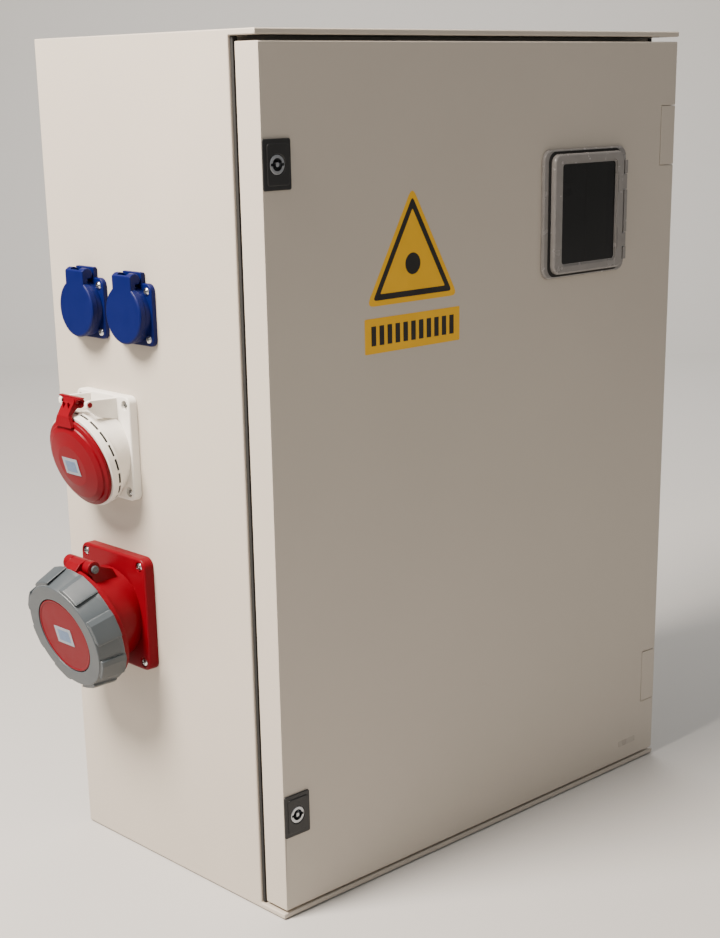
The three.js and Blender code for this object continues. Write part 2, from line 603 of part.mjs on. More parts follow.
// Double-bit key insert: a hollow round plug with a centre pin and two side slots.
function lockInsert(z) {
  const front = DOOR_FRONT - LOCK_PROUD - 0.4;
  const plug = join(rod('y', KEY_RADIUS, front, LOCK_REAR - 0.2, LOCK_X, z, FINE),
    rod('y', 4, LOCK_REAR - 1, CAM_FRONT - GAP, LOCK_X, z, SMALL));
  const hollow = cut(rod('y', 4.6, front - 1, front + 9, LOCK_X, z, 12),
    rod('y', 1.6, front - 2, front + 10, LOCK_X, z, SMALL));
  return cut(plug, hollow,
    slab(LOCK_X - 6.2, LOCK_X - 1.8, front - 1, front + 6, z - 0.9, z + 0.9),
    slab(LOCK_X + 1.8, LOCK_X + 6.2, front - 1, front + 6, z - 0.9, z + 0.9));
}

// Cam shown unlocked, pointing away from the keeper toward the door's middle.
const lockCam = (z) => join(
  rod('y', 6, CAM_FRONT, CAM_FRONT + CAM_THICK, LOCK_X, z, 12),
  slab(LOCK_X, LOCK_X + CAM_REACH, CAM_FRONT, CAM_FRONT + CAM_THICK, z - 4.5, z + 4.5));

HINGE_CENTRES.forEach((z, i) => {
  const where = ['upper', 'lower'][i];
  place(`hinge_body_leaf_${where}`, hingeBodyLeaf(z), ZINC);
  place(`hinge_door_leaf_${where}`, hingeDoorLeaf(z), POWDER_COAT);
  place(`hinge_pin_${where}`, hingePin(z), ZINC);
});
LOCK_CENTRES.forEach((z, i) => {
  const where = ['upper', 'lower'][i];
  place(`lock_housing_${where}`, lockHousing(z), BLACK_PLASTIC);
  place(`lock_insert_${where}`, lockInsert(z), ZINC);
  place(`lock_cam_${where}`, lockCam(z), ZINC);
});

// ---------- inspection window ----------
const FRAME_FRONT = DOOR_FRONT - GAP - WINDOW_PROUD;
const FLAP_REAR = FRAME_FRONT - RUN;
const FLAP_FRONT = FLAP_REAR - FLAP_THICK;
const FLAP_PIN_X = WINDOW_X + FLAP_WIDTH / 2 + 3;
const FLAP_PIN_Y = FLAP_REAR - 2.3;
const FLAP_PIN_RADIUS = 1;
const FLAP_KNUCKLES = [[-32.5, -20.7], [17, 30]]; // heights from the window's centre
const PANE_REBATE = 3;

function windowFrame() {
  const flange = prism('y', roundedPlate(WINDOW_WIDTH, WINDOW_HEIGHT, 9, WINDOW_X, WINDOW_Z),
    FRAME_FRONT, DOOR_FRONT - GAP);
  const spigot = prism('y', roundedPlate(WINDOW_WIDTH - 2 * WINDOW_SPIGOT - 2 * GAP,
    WINDOW_HEIGHT - 2 * WINDOW_SPIGOT - 2 * GAP, 5, WINDOW_X, WINDOW_Z),
  FRAME_FRONT + 1, DOOR_FRONT + 6);
  const posts = [[-44, -33], [-20.2, 16.5], [30.5, 42]].map(([low, high]) =>
    slab(FLAP_PIN_X - 2, FLAP_PIN_X + 2, FLAP_PIN_Y - 2, FRAME_FRONT + 1, WINDOW_Z + low,
      WINDOW_Z + high));
  return cut(join(flange, spigot, ...posts),
    prism('y', roundedPlate(PANE_WIDTH + 6, PANE_HEIGHT + 6, 4, WINDOW_X, WINDOW_Z),
      FRAME_FRONT - 1, DOOR_FRONT + 7),
    rod('z', FLAP_PIN_RADIUS + GAP, WINDOW_Z - 43, WINDOW_Z + 41, FLAP_PIN_X, FLAP_PIN_Y, SMALL));
}

function windowFlap() {
  const plate = prism('y', roundedPlate(FLAP_WIDTH, FLAP_HEIGHT, 8, WINDOW_X, WINDOW_Z),
    FLAP_FRONT, FLAP_REAR);
  const knuckles = FLAP_KNUCKLES.flatMap(([low, high]) => [
    rod('z', 2.2, WINDOW_Z + low, WINDOW_Z + high, FLAP_PIN_X, FLAP_PIN_Y, SMALL),
    slab(WINDOW_X + FLAP_WIDTH / 2 - 2, FLAP_PIN_X, FLAP_PIN_Y - 2.2, FLAP_PIN_Y, WINDOW_Z + low,
      WINDOW_Z + high)]);
  return cut(join(plate, ...knuckles),
    prism('y', roundedPlate(PANE_WIDTH, PANE_HEIGHT, 3, WINDOW_X, WINDOW_Z), FLAP_FRONT - 1,
      FLAP_REAR + 1),
    prism('y', roundedPlate(PANE_WIDTH + 2 * PANE_REBATE, PANE_HEIGHT + 2 * PANE_REBATE, 4,
      WINDOW_X, WINDOW_Z), FLAP_REAR - PANE_THICK - 0.5, FLAP_REAR + 1),
    rod('z', FLAP_PIN_RADIUS + GAP, WINDOW_Z - 43, WINDOW_Z + 41, FLAP_PIN_X, FLAP_PIN_Y, SMALL));
}

place('window_frame', windowFrame(), GREY_PLASTIC);
place('window_flap', windowFlap(), GREY_PLASTIC);
place('window_pane', prism('y', roundedPlate(PANE_WIDTH + 2 * PANE_REBATE - 2 * GAP,
  PANE_HEIGHT + 2 * PANE_REBATE - 2 * GAP, 3.7, WINDOW_X, WINDOW_Z),
FLAP_REAR - PANE_THICK - 0.2, FLAP_REAR - 0.2), SMOKED);
place('window_pin', rod('z', FLAP_PIN_RADIUS, WINDOW_Z - 42.5, WINDOW_Z + 40.5, FLAP_PIN_X,
  FLAP_PIN_Y, SMALL), ZINC);

// ---------- side sockets ----------
// A group on the left panel: its +Z points out of the panel and its +Y up.
function panelGroup({ y, z }) {
  const group = new THREE.Group();
  group.setRotationFromMatrix(new THREE.Matrix4().makeBasis(
    new THREE.Vector3(0, -1, 0), new THREE.Vector3(0, 0, 1), new THREE.Vector3(-1, 0, 0)));
  group.position.set(LEFT, y, z);
  model.add(group);
  return group;
}

const corners = (dx, dy) => [-1, 1].flatMap((sx) => [-1, 1].map((sy) => [sx * dx / 2, sy * dy / 2]));

function schukoBody() {
  const s = SCHUKO;
  const front = GAP + s.flangeThick;
  const flange = prism('z', roundedPlate(s.flange, s.flange, 6), GAP, front);
  const collar = drum(s.collarRadius, front - 1, s.collarFront, FINE);
  const rear = drum(s.rearRadius, -s.rearDepth, GAP + 1, PLAIN);
  const hingePlate = slab(-s.hoodWidth / 2, s.hoodWidth / 2, 18, s.hoodTop, GAP, front);
  const stem = slab(-5.7, 5.7, s.pinUp - 2, s.pinUp + 2, front - 1, s.pinOut);
  const lug = rod('x', 3.2, -5.7, 5.7, s.pinUp, s.pinOut, SMALL);
  const screws = corners(s.screws, s.screws).map(([x, y]) => rod('z', 1.8, 0, 10, x, y, SMALL));
  const pinHoles = [-9.5, 9.5].map((x) => rod('z', 2.7, -32, -s.cavityDepth + 1, x, 0, SMALL));
  const hoodRoom = slab(-s.hoodWidth / 2 - 1, s.hoodWidth / 2 + 1, s.collarRadius - 1.8, s.pinUp - 2.2,
    front, s.collarFront + 1);
  return cut(join(flange, cut(collar, hoodRoom), rear, hingePlate, stem, lug), ...screws, ...pinHoles,
    drum(s.cavityRadius, -s.cavityDepth, s.collarFront + 5, FINE),
    rod('x', 1.6, -7, 7, s.pinUp, s.pinOut, SMALL));
}

function schukoLid() {
  const s = SCHUKO;
  const rear = s.collarFront + RUN;
  const front = rear + s.lidThick;
  const disc = turned([[0, rear], [s.lidRadius, rear], [s.lidRadius, front - 1.2],
    [s.lidRadius - 1.2, front], [0, front]]);
  const seal = turned([[16.5, rear - 2.2], [18.6, rear - 2.2], [18.6, rear + 1], [16.5, rear + 1],
    [16.5, rear - 2.2]], PLAIN);
  const bend = 5.7;
  const hoodShape = new THREE.Shape();
  hoodShape.moveTo(16, rear).lineTo(16, front).lineTo(s.pinUp + 2.9, front);
  hoodShape.lineTo(s.pinUp + 5.4, s.pinOut + 1.8);
  hoodShape.absarc(s.pinUp, s.pinOut, bend, 0.32, -Math.PI / 2, true);
  hoodShape.lineTo(s.collarRadius + 1.2, s.pinOut - 4.2).lineTo(s.collarRadius + 1.2, rear);
  const hood = prism('x', hoodShape, -s.hoodWidth / 2, s.hoodWidth / 2);
  const slot = slab(-6.3, 6.3, s.collarRadius + 0.8, s.hoodTop + 5, 0, front - 1.5);
  const pivots = [-1, 1].map((way) => rod('x', 1.2, Math.min(way * 3, way * 7),
    Math.max(way * 3, way * 7), s.pinUp, s.pinOut, SMALL));
  return join(cut(join(disc, seal, hood), slot), ...pivots);
}

for (const where of ['schuko_rear', 'schuko_front']) {
  const group = panelGroup(SOCKET_PLACES[where]);
  place(`${where}_body`, schukoBody(), BLUE_PLASTIC, group);
  place(`${where}_lid`, schukoLid(), BLUE_PLASTIC, group);
}

// ---------- industrial sockets ----------
// Moves a piece built on a socket's own axis to its tilted seat on the flange.
const seated = (geometry, tilt, up, out) =>
  geometry.rotateX(tilt * Math.PI / 180).translate(0, up, out);

const behindPanel = (depth) => slab(-100, 100, -100, 100, -depth, GAP);
const pinCircle = (count, radius) => Array.from({ length: count }, (_, i) => {
  const angle = Math.PI / 2 + (i + 0.5) * 2 * Math.PI / count;
  return [radius * Math.cos(angle), radius * Math.sin(angle)];
});

// Insulating core with one hole for each plug pin.
function contactCarrier(radius, from, to, pinRadius, pinRing) {
  const holes = pinCircle(5, pinRing).map(([x, y]) => rod('z', pinRadius, to - 22, to + 1, x, y, SMALL));
  return cut(drum(radius, from, to, PLAIN), ...holes);
}

const CEE32_CAVITY = 31.5;
const CEE32_POCKET = 22.4;
const CEE32_EAR_UP = 39.5;
const CEE32_EAR_OUT = 35;
const CEE32_ARM_HALF = 8;
const CEE32_EAR_INNER = 16.5;
const CEE32_EAR_THICK = 4;

function cee32Housing() {
  const s = CEE32;
  const front = GAP + s.thick;
  const tilt = (geometry) => seated(geometry, SOCKET_TILT_32, s.axisUp, front);
  const shell = tilt(turned([[0, -6], [34.6, -6], [38.5, 14], [s.collarRadius, 15],
    [s.collarRadius, s.rimAt - RUN], [0, s.rimAt - RUN]]));
  const flange = prism('z', roundedPlate(s.width, s.height, 6), GAP, front);
  const rear = drum(s.rearRadius, -s.rearDepth, GAP + 2, PLAIN);
  const earShape = outline([[s.height / 2 - 2, front - 1], [CEE32_EAR_UP + 3.5, CEE32_EAR_OUT - 1],
    [CEE32_EAR_UP + 2.5, CEE32_EAR_OUT + 3], [CEE32_EAR_UP - 2.5, CEE32_EAR_OUT + 3],
    [28, 26], [24, front - 1]]);
  const ears = [-1, 1].map((way) => prism('x', earShape,
    Math.min(way * CEE32_EAR_INNER, way * (CEE32_EAR_INNER + CEE32_EAR_THICK)),
    Math.max(way * CEE32_EAR_INNER, way * (CEE32_EAR_INNER + CEE32_EAR_THICK))));
  const slots = Array.from({ length: 8 }, (_, i) => tilt(
    slab(-6.5, 6.5, s.collarRadius - 1.4, s.collarRadius + 2, 17, 18.6)
      .rotateZ((i + 0.5) * Math.PI / 4)));
  const screws = corners(s.screwsX, s.screwsZ).map(([x, y]) =>
    rod('z', 4.3, front - 3, 12, x, y, SMALL));
  return cut(join(cut(shell, behindPanel(30)), flange, rear, ...ears), ...slots, ...screws,
    tilt(drum(CEE32_CAVITY, 2.5, s.rimAt + 5, FINE)), tilt(drum(CEE32_POCKET, -12, 3, PLAIN)),
    rod('x', 2.4, -30, 30, CEE32_EAR_UP, CEE32_EAR_OUT, SMALL));
}

// Domed lid with a neck that runs over the hinge to a flared thumb tab.
function cee32Lid() {
  const s = CEE32;
  const dome = seated(turned([[0, s.rimAt + 8.2], [17, s.rimAt + 7.2], [27, s.rimAt + 5],
    [33, s.rimAt + 2], [33, s.rimAt], [s.lidRadius, s.rimAt], [s.lidRadius, s.rimAt + 3],
    [36, s.rimAt + 4.6], [30, s.rimAt + 7.6], [18, s.rimAt + 10], [0, s.rimAt + 10.8]]),
  SOCKET_TILT_32, s.axisUp, GAP + s.thick);
  const [up, out] = [CEE32_EAR_UP, CEE32_EAR_OUT];
  const armShape = new THREE.Shape();
  armShape.moveTo(21, 45.3).lineTo(21, 49).lineTo(30, 48.6).lineTo(37, 44.6).lineTo(41, 41.6);
  armShape.lineTo(45.4, 39.8).lineTo(45.4, 36.6).lineTo(up + 4, out + 1.5);
  armShape.absarc(up, out, 4.4, 0.3, Math.PI * 0.85 - 2 * Math.PI, true);
  armShape.lineTo(33.4, 41.6).lineTo(30.4, 44.7).lineTo(26, 45.4);
  const arm = prism('x', armShape, -CEE32_ARM_HALF, CEE32_ARM_HALF);
  const flare = prism('z', outline([[-CEE32_ARM_HALF, 40.5], [CEE32_ARM_HALF, 40.5], [16, 45.4],
    [-16, 45.4]]), 36.4, 39.9);
  return cut(join(dome, arm, flare), rod('x', 1.9, -30, 30, up, out, SMALL));
}

const CEE63_CAVITY = 36;
const CEE63_POCKET = 30.4;
const CEE63_HINGE_UP = 50.8; // above the socket's axis
const CEE63_HINGE_OUT = 19.5; // along it, from the flange's face
const CEE63_BARREL = 6.5;
const CEE63_LID_HALF = 9;
const CEE63_RING_REAR = 32.4;
const CEE63_SKIRT = 45.4;

function cee63Housing() {
  const s = CEE63;
  const front = GAP + s.thick;
  const tilt = (geometry) => seated(geometry, SOCKET_TILT_63, s.axisUp, front);
  const shell = tilt(turned([[0, -6], [37.6, -6], [43, 24], [42, 26], [42, 30], [38.8, 46], [0, 46]]));
  const flange = prism('z', roundedPlate(s.width, s.height, 8), GAP, front - 2);
  const bevel = prism('z', roundedPlate(s.width - 4, s.height - 4, 7), front - 2.5, front);
  const rear = drum(s.rearRadius, -s.rearDepth, GAP + 2, PLAIN);
  const [up, out] = [CEE63_HINGE_UP, CEE63_HINGE_OUT];
  const earShape = outline([[34, 0], [36, 22], [up - 5, out + 4.2], [up, out + 5], [up + 5, out - 3],
    [up, out - 6], [43, 2]]);
  const [near, far] = [CEE63_LID_HALF + 0.5, CEE63_LID_HALF + 9.3];
  const ears = [-1, 1].flatMap((way) => {
    const [low, high] = [Math.min(way * near, way * far), Math.max(way * near, way * far)];
    return [tilt(prism('x', earShape, low, high)), tilt(rod('x', CEE63_BARREL, low, high, up, out, 12))];
  });
  const screws = corners(s.screwsX, s.screwsZ).map(([x, y]) => rod('z', 2.8, 0, 14, x, y, SMALL));
  return cut(join(cut(shell, behindPanel(30)), flange, bevel, rear, ...ears), ...screws,
    tilt(drum(CEE63_CAVITY, 3, 50, FINE)), tilt(drum(CEE63_POCKET, -14, 4, PLAIN)),
    tilt(rod('x', 2.4, -30, 30, up, out, SMALL)));
}

// Lid cup on its hinge lug. The locking ring turns on its skirt.
function cee63Lid() {
  const cup = turned([[0, 47], [43.2, 47], [43.2, 27], [52, 27], [52, 31.8], [CEE63_SKIRT, 31.8],
    [CEE63_SKIRT, 51], [34.2, 51], [34.2, 54.6], [33.6, 55.1], [0, 55.1]]);
  const [up, out] = [CEE63_HINGE_UP, CEE63_HINGE_OUT];
  const lugShape = outline([[46, 27.4], [46, 31.8], [53, 31.8], [56.5, 26], [57.2, out], [up, out - 3],
    [up - 5, out + 3]]);
  return cut(join(cup, prism('x', lugShape, -CEE63_LID_HALF, CEE63_LID_HALF),
    rod('x', CEE63_BARREL, -CEE63_LID_HALF, CEE63_LID_HALF, up, out, 12)),
  rod('x', 2.4, -30, 30, up, out, SMALL));
}

// Locking ring with stepped grip lands round it.
function cee63Ring() {
  const s = CEE63;
  const inner = CEE63_SKIRT + 0.5;
  const body = turned([[inner, CEE63_RING_REAR], [s.ringRadius - 1, CEE63_RING_REAR],
    [s.ringRadius - 3, CEE63_RING_REAR + 3], [s.ringFront - 3, s.faceAt], [34.8, s.faceAt],
    [34.8, 51.5], [inner, 51.5], [inner, CEE63_RING_REAR]]);
  const lands = Array.from({ length: 8 }, (_, i) => {
    const land = prism('z', outline([[48, -4.5], [s.ringRadius - 1, -14], [s.ringRadius, 5.5],
      [s.ringRadius - 1.5, 10], [48, 10]]), CEE63_RING_REAR, s.faceAt - 1.5);
    return land.rotateZ(i * Math.PI / 4 + 0.3);
  });
  return join(body, ...lands);
}

const cee32 = panelGroup(SOCKET_PLACES.cee32);
place('cee32_housing', cee32Housing(), WHITE_PLASTIC, cee32);
place('cee32_lid', cee32Lid(), RED_PLASTIC, cee32);
place('cee32_pin', join(rod('x', 1.5, -19.5, 21.2, CEE32_EAR_UP, CEE32_EAR_OUT, SMALL),
  rod('x', 2.2, 17, 21.2, CEE32_EAR_UP, CEE32_EAR_OUT, SMALL)), RED_PLASTIC, cee32);

function tiltGroup(parent, tilt, up, out) {
  const group = new THREE.Group();
  group.rotation.x = tilt * Math.PI / 180;
  group.position.set(0, up, out);
  parent.add(group);
  return group;
}

const cee32Axis = tiltGroup(cee32, SOCKET_TILT_32, CEE32.axisUp, GAP + CEE32.thick);
place('cee32_contact_carrier', contactCarrier(CEE32_POCKET - RUN, -11.7, 20, 3.2, 15.5),
  GREY_PLASTIC, cee32Axis);

const cee63 = panelGroup(SOCKET_PLACES.cee63);
place('cee63_housing', cee63Housing(), RED_PLASTIC, cee63);
const cee63Axis = tiltGroup(cee63, SOCKET_TILT_63, CEE63.axisUp, GAP + CEE63.thick);
place('cee63_contact_carrier', contactCarrier(CEE63_POCKET - RUN, -13.7, 38, 4.2, 20), BLACK_PLASTIC,
  cee63Axis);
place('cee63_lid', cee63Lid(), RED_PLASTIC, cee63Axis);
place('cee63_locking_ring', cee63Ring(), GREY_PLASTIC, cee63Axis);
place('cee63_pin', join(
  rod('x', 2, -18.6, 19.6, CEE63_HINGE_UP, CEE63_HINGE_OUT, SMALL),
  rod('x', 3.4, 18.7, 20.8, CEE63_HINGE_UP, CEE63_HINGE_OUT, SMALL)), GREY_PLASTIC, cee63Axis);

// ---------- cable gland ----------
const hexRing = (radius, from, to) => rod('x', radius, from, to, ...GLAND_CENTRE, 6);
const round = (radius, from, to) => rod('x', radius, from, to, ...GLAND_CENTRE, PLAIN);
const GLAND_DOME_START = RIGHT + 10;
place('gland_body', cut(join(hexRing(31, RIGHT + GAP, GLAND_DOME_START - GAP),
  round(GLAND_THREAD - GAP, RIGHT - 14, RIGHT + 1), round(22.4, RIGHT + 5, RIGHT + 26)),
round(GLAND_BORE, RIGHT - 20, RIGHT + 40)), GREY_PLASTIC);
place('gland_dome_nut', cut(join(hexRing(30, GLAND_DOME_START, GLAND_DOME_START + 14),
  round(24.6, GLAND_DOME_START + 13, GLAND_DOME_START + 19),
  round(21, GLAND_DOME_START + 18, GLAND_DOME_START + 24)),
round(22.8, GLAND_DOME_START - 1, GLAND_DOME_START + 17),
round(GLAND_BORE + 1, RIGHT, RIGHT + 60)), GREY_PLASTIC);

// ---------- internal leads ----------
// A sheathed lead from the back of a side socket to the underside of its breaker.
function lead(radius, points) {
  const curve = new THREE.CatmullRomCurve3(points.map((p) => new THREE.Vector3(...p)));
  const section = new THREE.Shape().absarc(0, 0, radius, 0, 2 * Math.PI);
  return new THREE.ExtrudeGeometry(section, { steps: 16, extrudePath: curve, curveSegments: 4 });
}

const DEVICE_FOOT = ROW_Z - DEVICE_HEIGHT / 2 - GAP;
const DEVICE_ENTRY = NOSE_FRONT + NOSE_DEPTH + 22;
const LEADS = [
  { socket: 'cee63', back: CEE63.rearDepth, radius: 9, device: 'breaker_63' },
  { socket: 'cee32', back: CEE32.rearDepth, radius: 7, device: 'breaker_32' },
  { socket: 'schuko_rear', back: SCHUKO.rearDepth, radius: 4.5, device: 'breaker_16_right' },
  { socket: 'schuko_front', back: SCHUKO.rearDepth, radius: 4.5, device: 'breaker_16_left' },
];
for (const { socket, back, radius, device } of LEADS) {
  const from = SOCKET_PLACES[socket];
  const x = deviceCentres[device];
  const start = LEFT + back + GAP;
  const drop = DEVICE_FOOT - 40 - radius * 2;
  place(`lead_${socket}`, lead(radius, [[start, from.y, from.z], [start + 25, from.y, from.z],
    [(start + x) / 2, (from.y + DEVICE_ENTRY) / 2, (from.z + Math.min(from.z, drop)) / 2],
    [x - 8, DEVICE_ENTRY + 4, drop], [x, DEVICE_ENTRY, DEVICE_FOOT - 12],
    [x, DEVICE_ENTRY, DEVICE_FOOT]]), BLACK_PLASTIC);
}

export default model;
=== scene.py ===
import json
import math

import bmesh
import bpy
from bpy.props import FloatProperty, FloatVectorProperty, IntProperty, PointerProperty
from mathutils import Matrix, Vector

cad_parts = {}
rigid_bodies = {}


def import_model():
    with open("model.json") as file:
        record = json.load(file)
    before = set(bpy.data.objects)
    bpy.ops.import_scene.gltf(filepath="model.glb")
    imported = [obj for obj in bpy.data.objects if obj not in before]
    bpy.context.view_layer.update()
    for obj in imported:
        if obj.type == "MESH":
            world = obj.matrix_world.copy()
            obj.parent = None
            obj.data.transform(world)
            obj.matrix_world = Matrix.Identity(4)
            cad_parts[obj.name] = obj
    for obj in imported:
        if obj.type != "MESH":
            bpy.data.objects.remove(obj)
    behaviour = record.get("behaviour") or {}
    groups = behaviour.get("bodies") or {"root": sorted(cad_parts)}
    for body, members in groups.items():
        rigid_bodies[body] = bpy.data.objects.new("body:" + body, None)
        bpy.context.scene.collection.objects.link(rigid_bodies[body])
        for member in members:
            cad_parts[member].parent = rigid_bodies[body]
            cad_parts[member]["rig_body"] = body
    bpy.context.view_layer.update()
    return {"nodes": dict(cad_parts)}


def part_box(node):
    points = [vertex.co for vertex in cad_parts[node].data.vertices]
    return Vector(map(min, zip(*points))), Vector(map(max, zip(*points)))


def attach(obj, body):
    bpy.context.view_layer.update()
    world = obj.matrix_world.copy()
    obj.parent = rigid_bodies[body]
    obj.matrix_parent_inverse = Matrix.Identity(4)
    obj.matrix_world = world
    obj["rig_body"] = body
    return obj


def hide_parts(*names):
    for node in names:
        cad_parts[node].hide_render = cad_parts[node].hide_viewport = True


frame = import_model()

bl_info = {
    "name": "Power distribution box",
    "version": (1, 0, 0),
    "blender": (4, 5, 0),
    "location": "View3D > Sidebar > Power box",
    "description": "Finished looks of a sheet-steel power distribution box, round its CAD frame",
    "category": "Add Mesh",
}

NODES = frame["nodes"]

# ---------- measures, in millimetres ----------
MM = 0.001
LEFT = -250.0  # outside of the panel that carries the sockets
RIGHT = 250.0
DOOR_FRONT = -155.5
DOOR_LEFT = -247.7
SCHUKO_AXES = {"schuko_rear": (68.2, 487.0), "schuko_front": (2.4, 487.0)}
CEE32_AXIS = (48.5, 374.0)
CEE63_AXIS = (46.7, 231.5)
CEE32_SEAT = (15.0, -4.0, 8.3)  # tilt in degrees, then up and out of the panel
CEE63_SEAT = (14.0, -1.1, 10.3)
GLAND_AXIS = (0.0, 150.0)
ROW = {"breaker_16_left": 1, "breaker_16_right": 1, "breaker_32": 3, "breaker_63": 3,
       "residual_switch": 4}  # switchgear, with the modules each takes
TO_DOOR = Matrix(((1, 0, 0, 0), (0, 0, -1, 0), (0, 1, 0, 0), (0, 0, 0, 1)))  # local Z to the door

# ---------- the stage, in metres, degrees and watts ----------
FLOOR_REACH = 14.0
FLOOR_DROP = 0.001  # the floor lies this far under the box
SWEEP_FOOT = 2.6  # where the sweep starts to bend up, from the box
SWEEP_BEND = 0.9
SWEEP_HEIGHT = 4.5
CAMERA_PLACE = (-1.043, -1.095, 0.663)
CAMERA_TURN = (-43.28, 17.46, -1.04)  # azimuth, elevation and roll
CAMERA_SENSOR = 36.0
CAMERA_LENS = 1651.5 / 938.0 * CAMERA_SENSOR
CAMERA_SHIFT = 0.1397


def corners(node):
    """Lowest and highest corner of a CAD node's box, in millimetres."""
    return [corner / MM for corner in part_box(node)]


def centre(node):
    """Middle of a CAD node's box, in millimetres."""
    low, high = corners(node)
    return (low + high) / 2


LOCKS = {where: centre("lock_insert_" + where) for where in ("upper", "lower")}
WINDOW = centre("window_pane")


# ---------- colours and materials ----------
def hex_colour(code):
    """Linear RGBA of an sRGB hex value."""
    values = [int(code[i:i + 2], 16) / 255 for i in (1, 3, 5)]
    return [v / 12.92 if v <= 0.04045 else ((v + 0.055) / 1.055) ** 2.4 for v in values] + [1.0]


def add(tree, kind, settings=None, **links):
    """Adds a node, with its settings, and its inputs as values or as other nodes' sockets."""
    node = tree.nodes.new(kind)
    for key, value in (settings or {}).items():
        setattr(node, key, value)
    for key, value in links.items():
        socket = node.inputs[int(key[1:])] if key[0] == "i" and key[1:].isdigit() else \
            node.inputs[key.replace("_", " ")]
        if isinstance(value, bpy.types.NodeSocket):
            tree.links.new(value, socket)
        else:
            socket.default_value = value
    return node


def surface(name, colour, roughness, grain, metallic=0.0, ior=1.5, bump=0.1, depth=0.05,
            mottle=0.05, rough_spread=0.05, coarse=60.0, **sockets):
    """A principled material with a grain of a real size in millimetres, and mottled tone and gloss.
    bump is the grain's strength, and depth its height in millimetres."""
    mat = bpy.data.materials.new(name)
    mat.use_nodes = True
    tree = mat.node_tree
    tree.nodes.clear()
    out = add(tree, "ShaderNodeOutputMaterial")
    place = add(tree, "ShaderNodeTexCoord").outputs["Object"]
    fine = add(tree, "ShaderNodeTexNoise", Vector=place, Scale=1 / (grain * MM), Detail=3.0)
    broad = add(tree, "ShaderNodeTexNoise", Vector=place, Scale=1 / (coarse * MM), Detail=4.0)
    darker = [c * (1 - 2.2 * mottle) for c in colour[:3]] + [1.0]
    lighter = [min(1.0, c * (1 + mottle)) for c in colour[:3]] + [1.0]
    tint = add(tree, "ShaderNodeMix", {"data_type": "RGBA"}, i0=broad.outputs["Fac"], i6=darker,
               i7=lighter)
    gloss = add(tree, "ShaderNodeMapRange", Value=broad.outputs["Fac"], From_Min=0.3, From_Max=0.7,
                To_Min=max(0.02, roughness - rough_spread), To_Max=roughness + rough_spread)
    relief = add(tree, "ShaderNodeBump", Strength=bump, Distance=depth * MM,
                 Height=fine.outputs["Fac"])
    shader = add(tree, "ShaderNodeBsdfPrincipled", Base_Color=tint.outputs[2],
                 Roughness=gloss.outputs["Result"], Metallic=metallic, IOR=ior,
                 Normal=relief.outputs["Normal"], **sockets)
    tree.links.new(shader.outputs["BSDF"], out.inputs["Surface"])
    return mat


def edge_wear_and_highlight(mat, tone, amount, reach=0.5):
    """Lays a lighter tone on the finish within reach millimetres of an edge, broken up by a noise: partly
    edge wear, partly a painted highlight where edges catch the light. An edge is found where the normal,
    averaged over the reach, leaves the true one."""
    tree = mat.node_tree
    shader = next(n for n in tree.nodes if n.type == "BSDF_PRINCIPLED")
    under = shader.inputs["Base Color"].links[0].from_socket
    flat = add(tree, "ShaderNodeNewGeometry").outputs["Normal"]
    soft = add(tree, "ShaderNodeBevel", {"samples": 4}, Radius=reach * MM)
    match = add(tree, "ShaderNodeVectorMath", {"operation": "DOT_PRODUCT"}, i0=flat,
                i1=soft.outputs["Normal"])
    edge = add(tree, "ShaderNodeMapRange", Value=match.outputs["Value"], From_Min=0.97,
               From_Max=0.82, To_Min=0.0, To_Max=amount)
    place = add(tree, "ShaderNodeTexCoord").outputs["Object"]
    patches = add(tree, "ShaderNodeTexNoise", Vector=place, Scale=90.0, Detail=5.0)
    mask = add(tree, "ShaderNodeMath", {"operation": "MULTIPLY"}, i0=edge.outputs["Result"],
               i1=patches.outputs["Fac"])
    mixed = add(tree, "ShaderNodeMix", {"data_type": "RGBA"}, i0=mask.outputs["Value"], i6=under,
                i7=tone)
    tree.links.new(mixed.outputs[2], shader.inputs["Base Color"])
    return mat


def darkened_low_down(mat, tone, low, high, amount):
    """Mixes a little of another tone, broken up by a noise, between two heights in metres, most at the
    lower.
    """
    tree = mat.node_tree
    shader = next(n for n in tree.nodes if n.type == "BSDF_PRINCIPLED")
    under = shader.inputs["Base Color"].links[0].from_socket
    place = add(tree, "ShaderNodeTexCoord").outputs["Object"]
    height = add(tree, "ShaderNodeSeparateXYZ", Vector=place).outputs["Z"]
    fall = add(tree, "ShaderNodeMapRange", Value=height, From_Min=low, From_Max=high, To_Min=amount,
               To_Max=0.0)
    speck = add(tree, "ShaderNodeTexNoise", Vector=place, Scale=35.0, Detail=8.0, Roughness=0.7)
    mask = add(tree, "ShaderNodeMath", {"operation": "MULTIPLY"}, i0=fall.outputs["Result"],
               i1=speck.outputs["Fac"])
    mixed = add(tree, "ShaderNodeMix", {"data_type": "RGBA"}, i0=mask.outputs["Value"], i6=under,
                i7=tone)
    tree.links.new(mixed.outputs[2], shader.inputs["Base Color"])
    return mat


FINISHES = {}


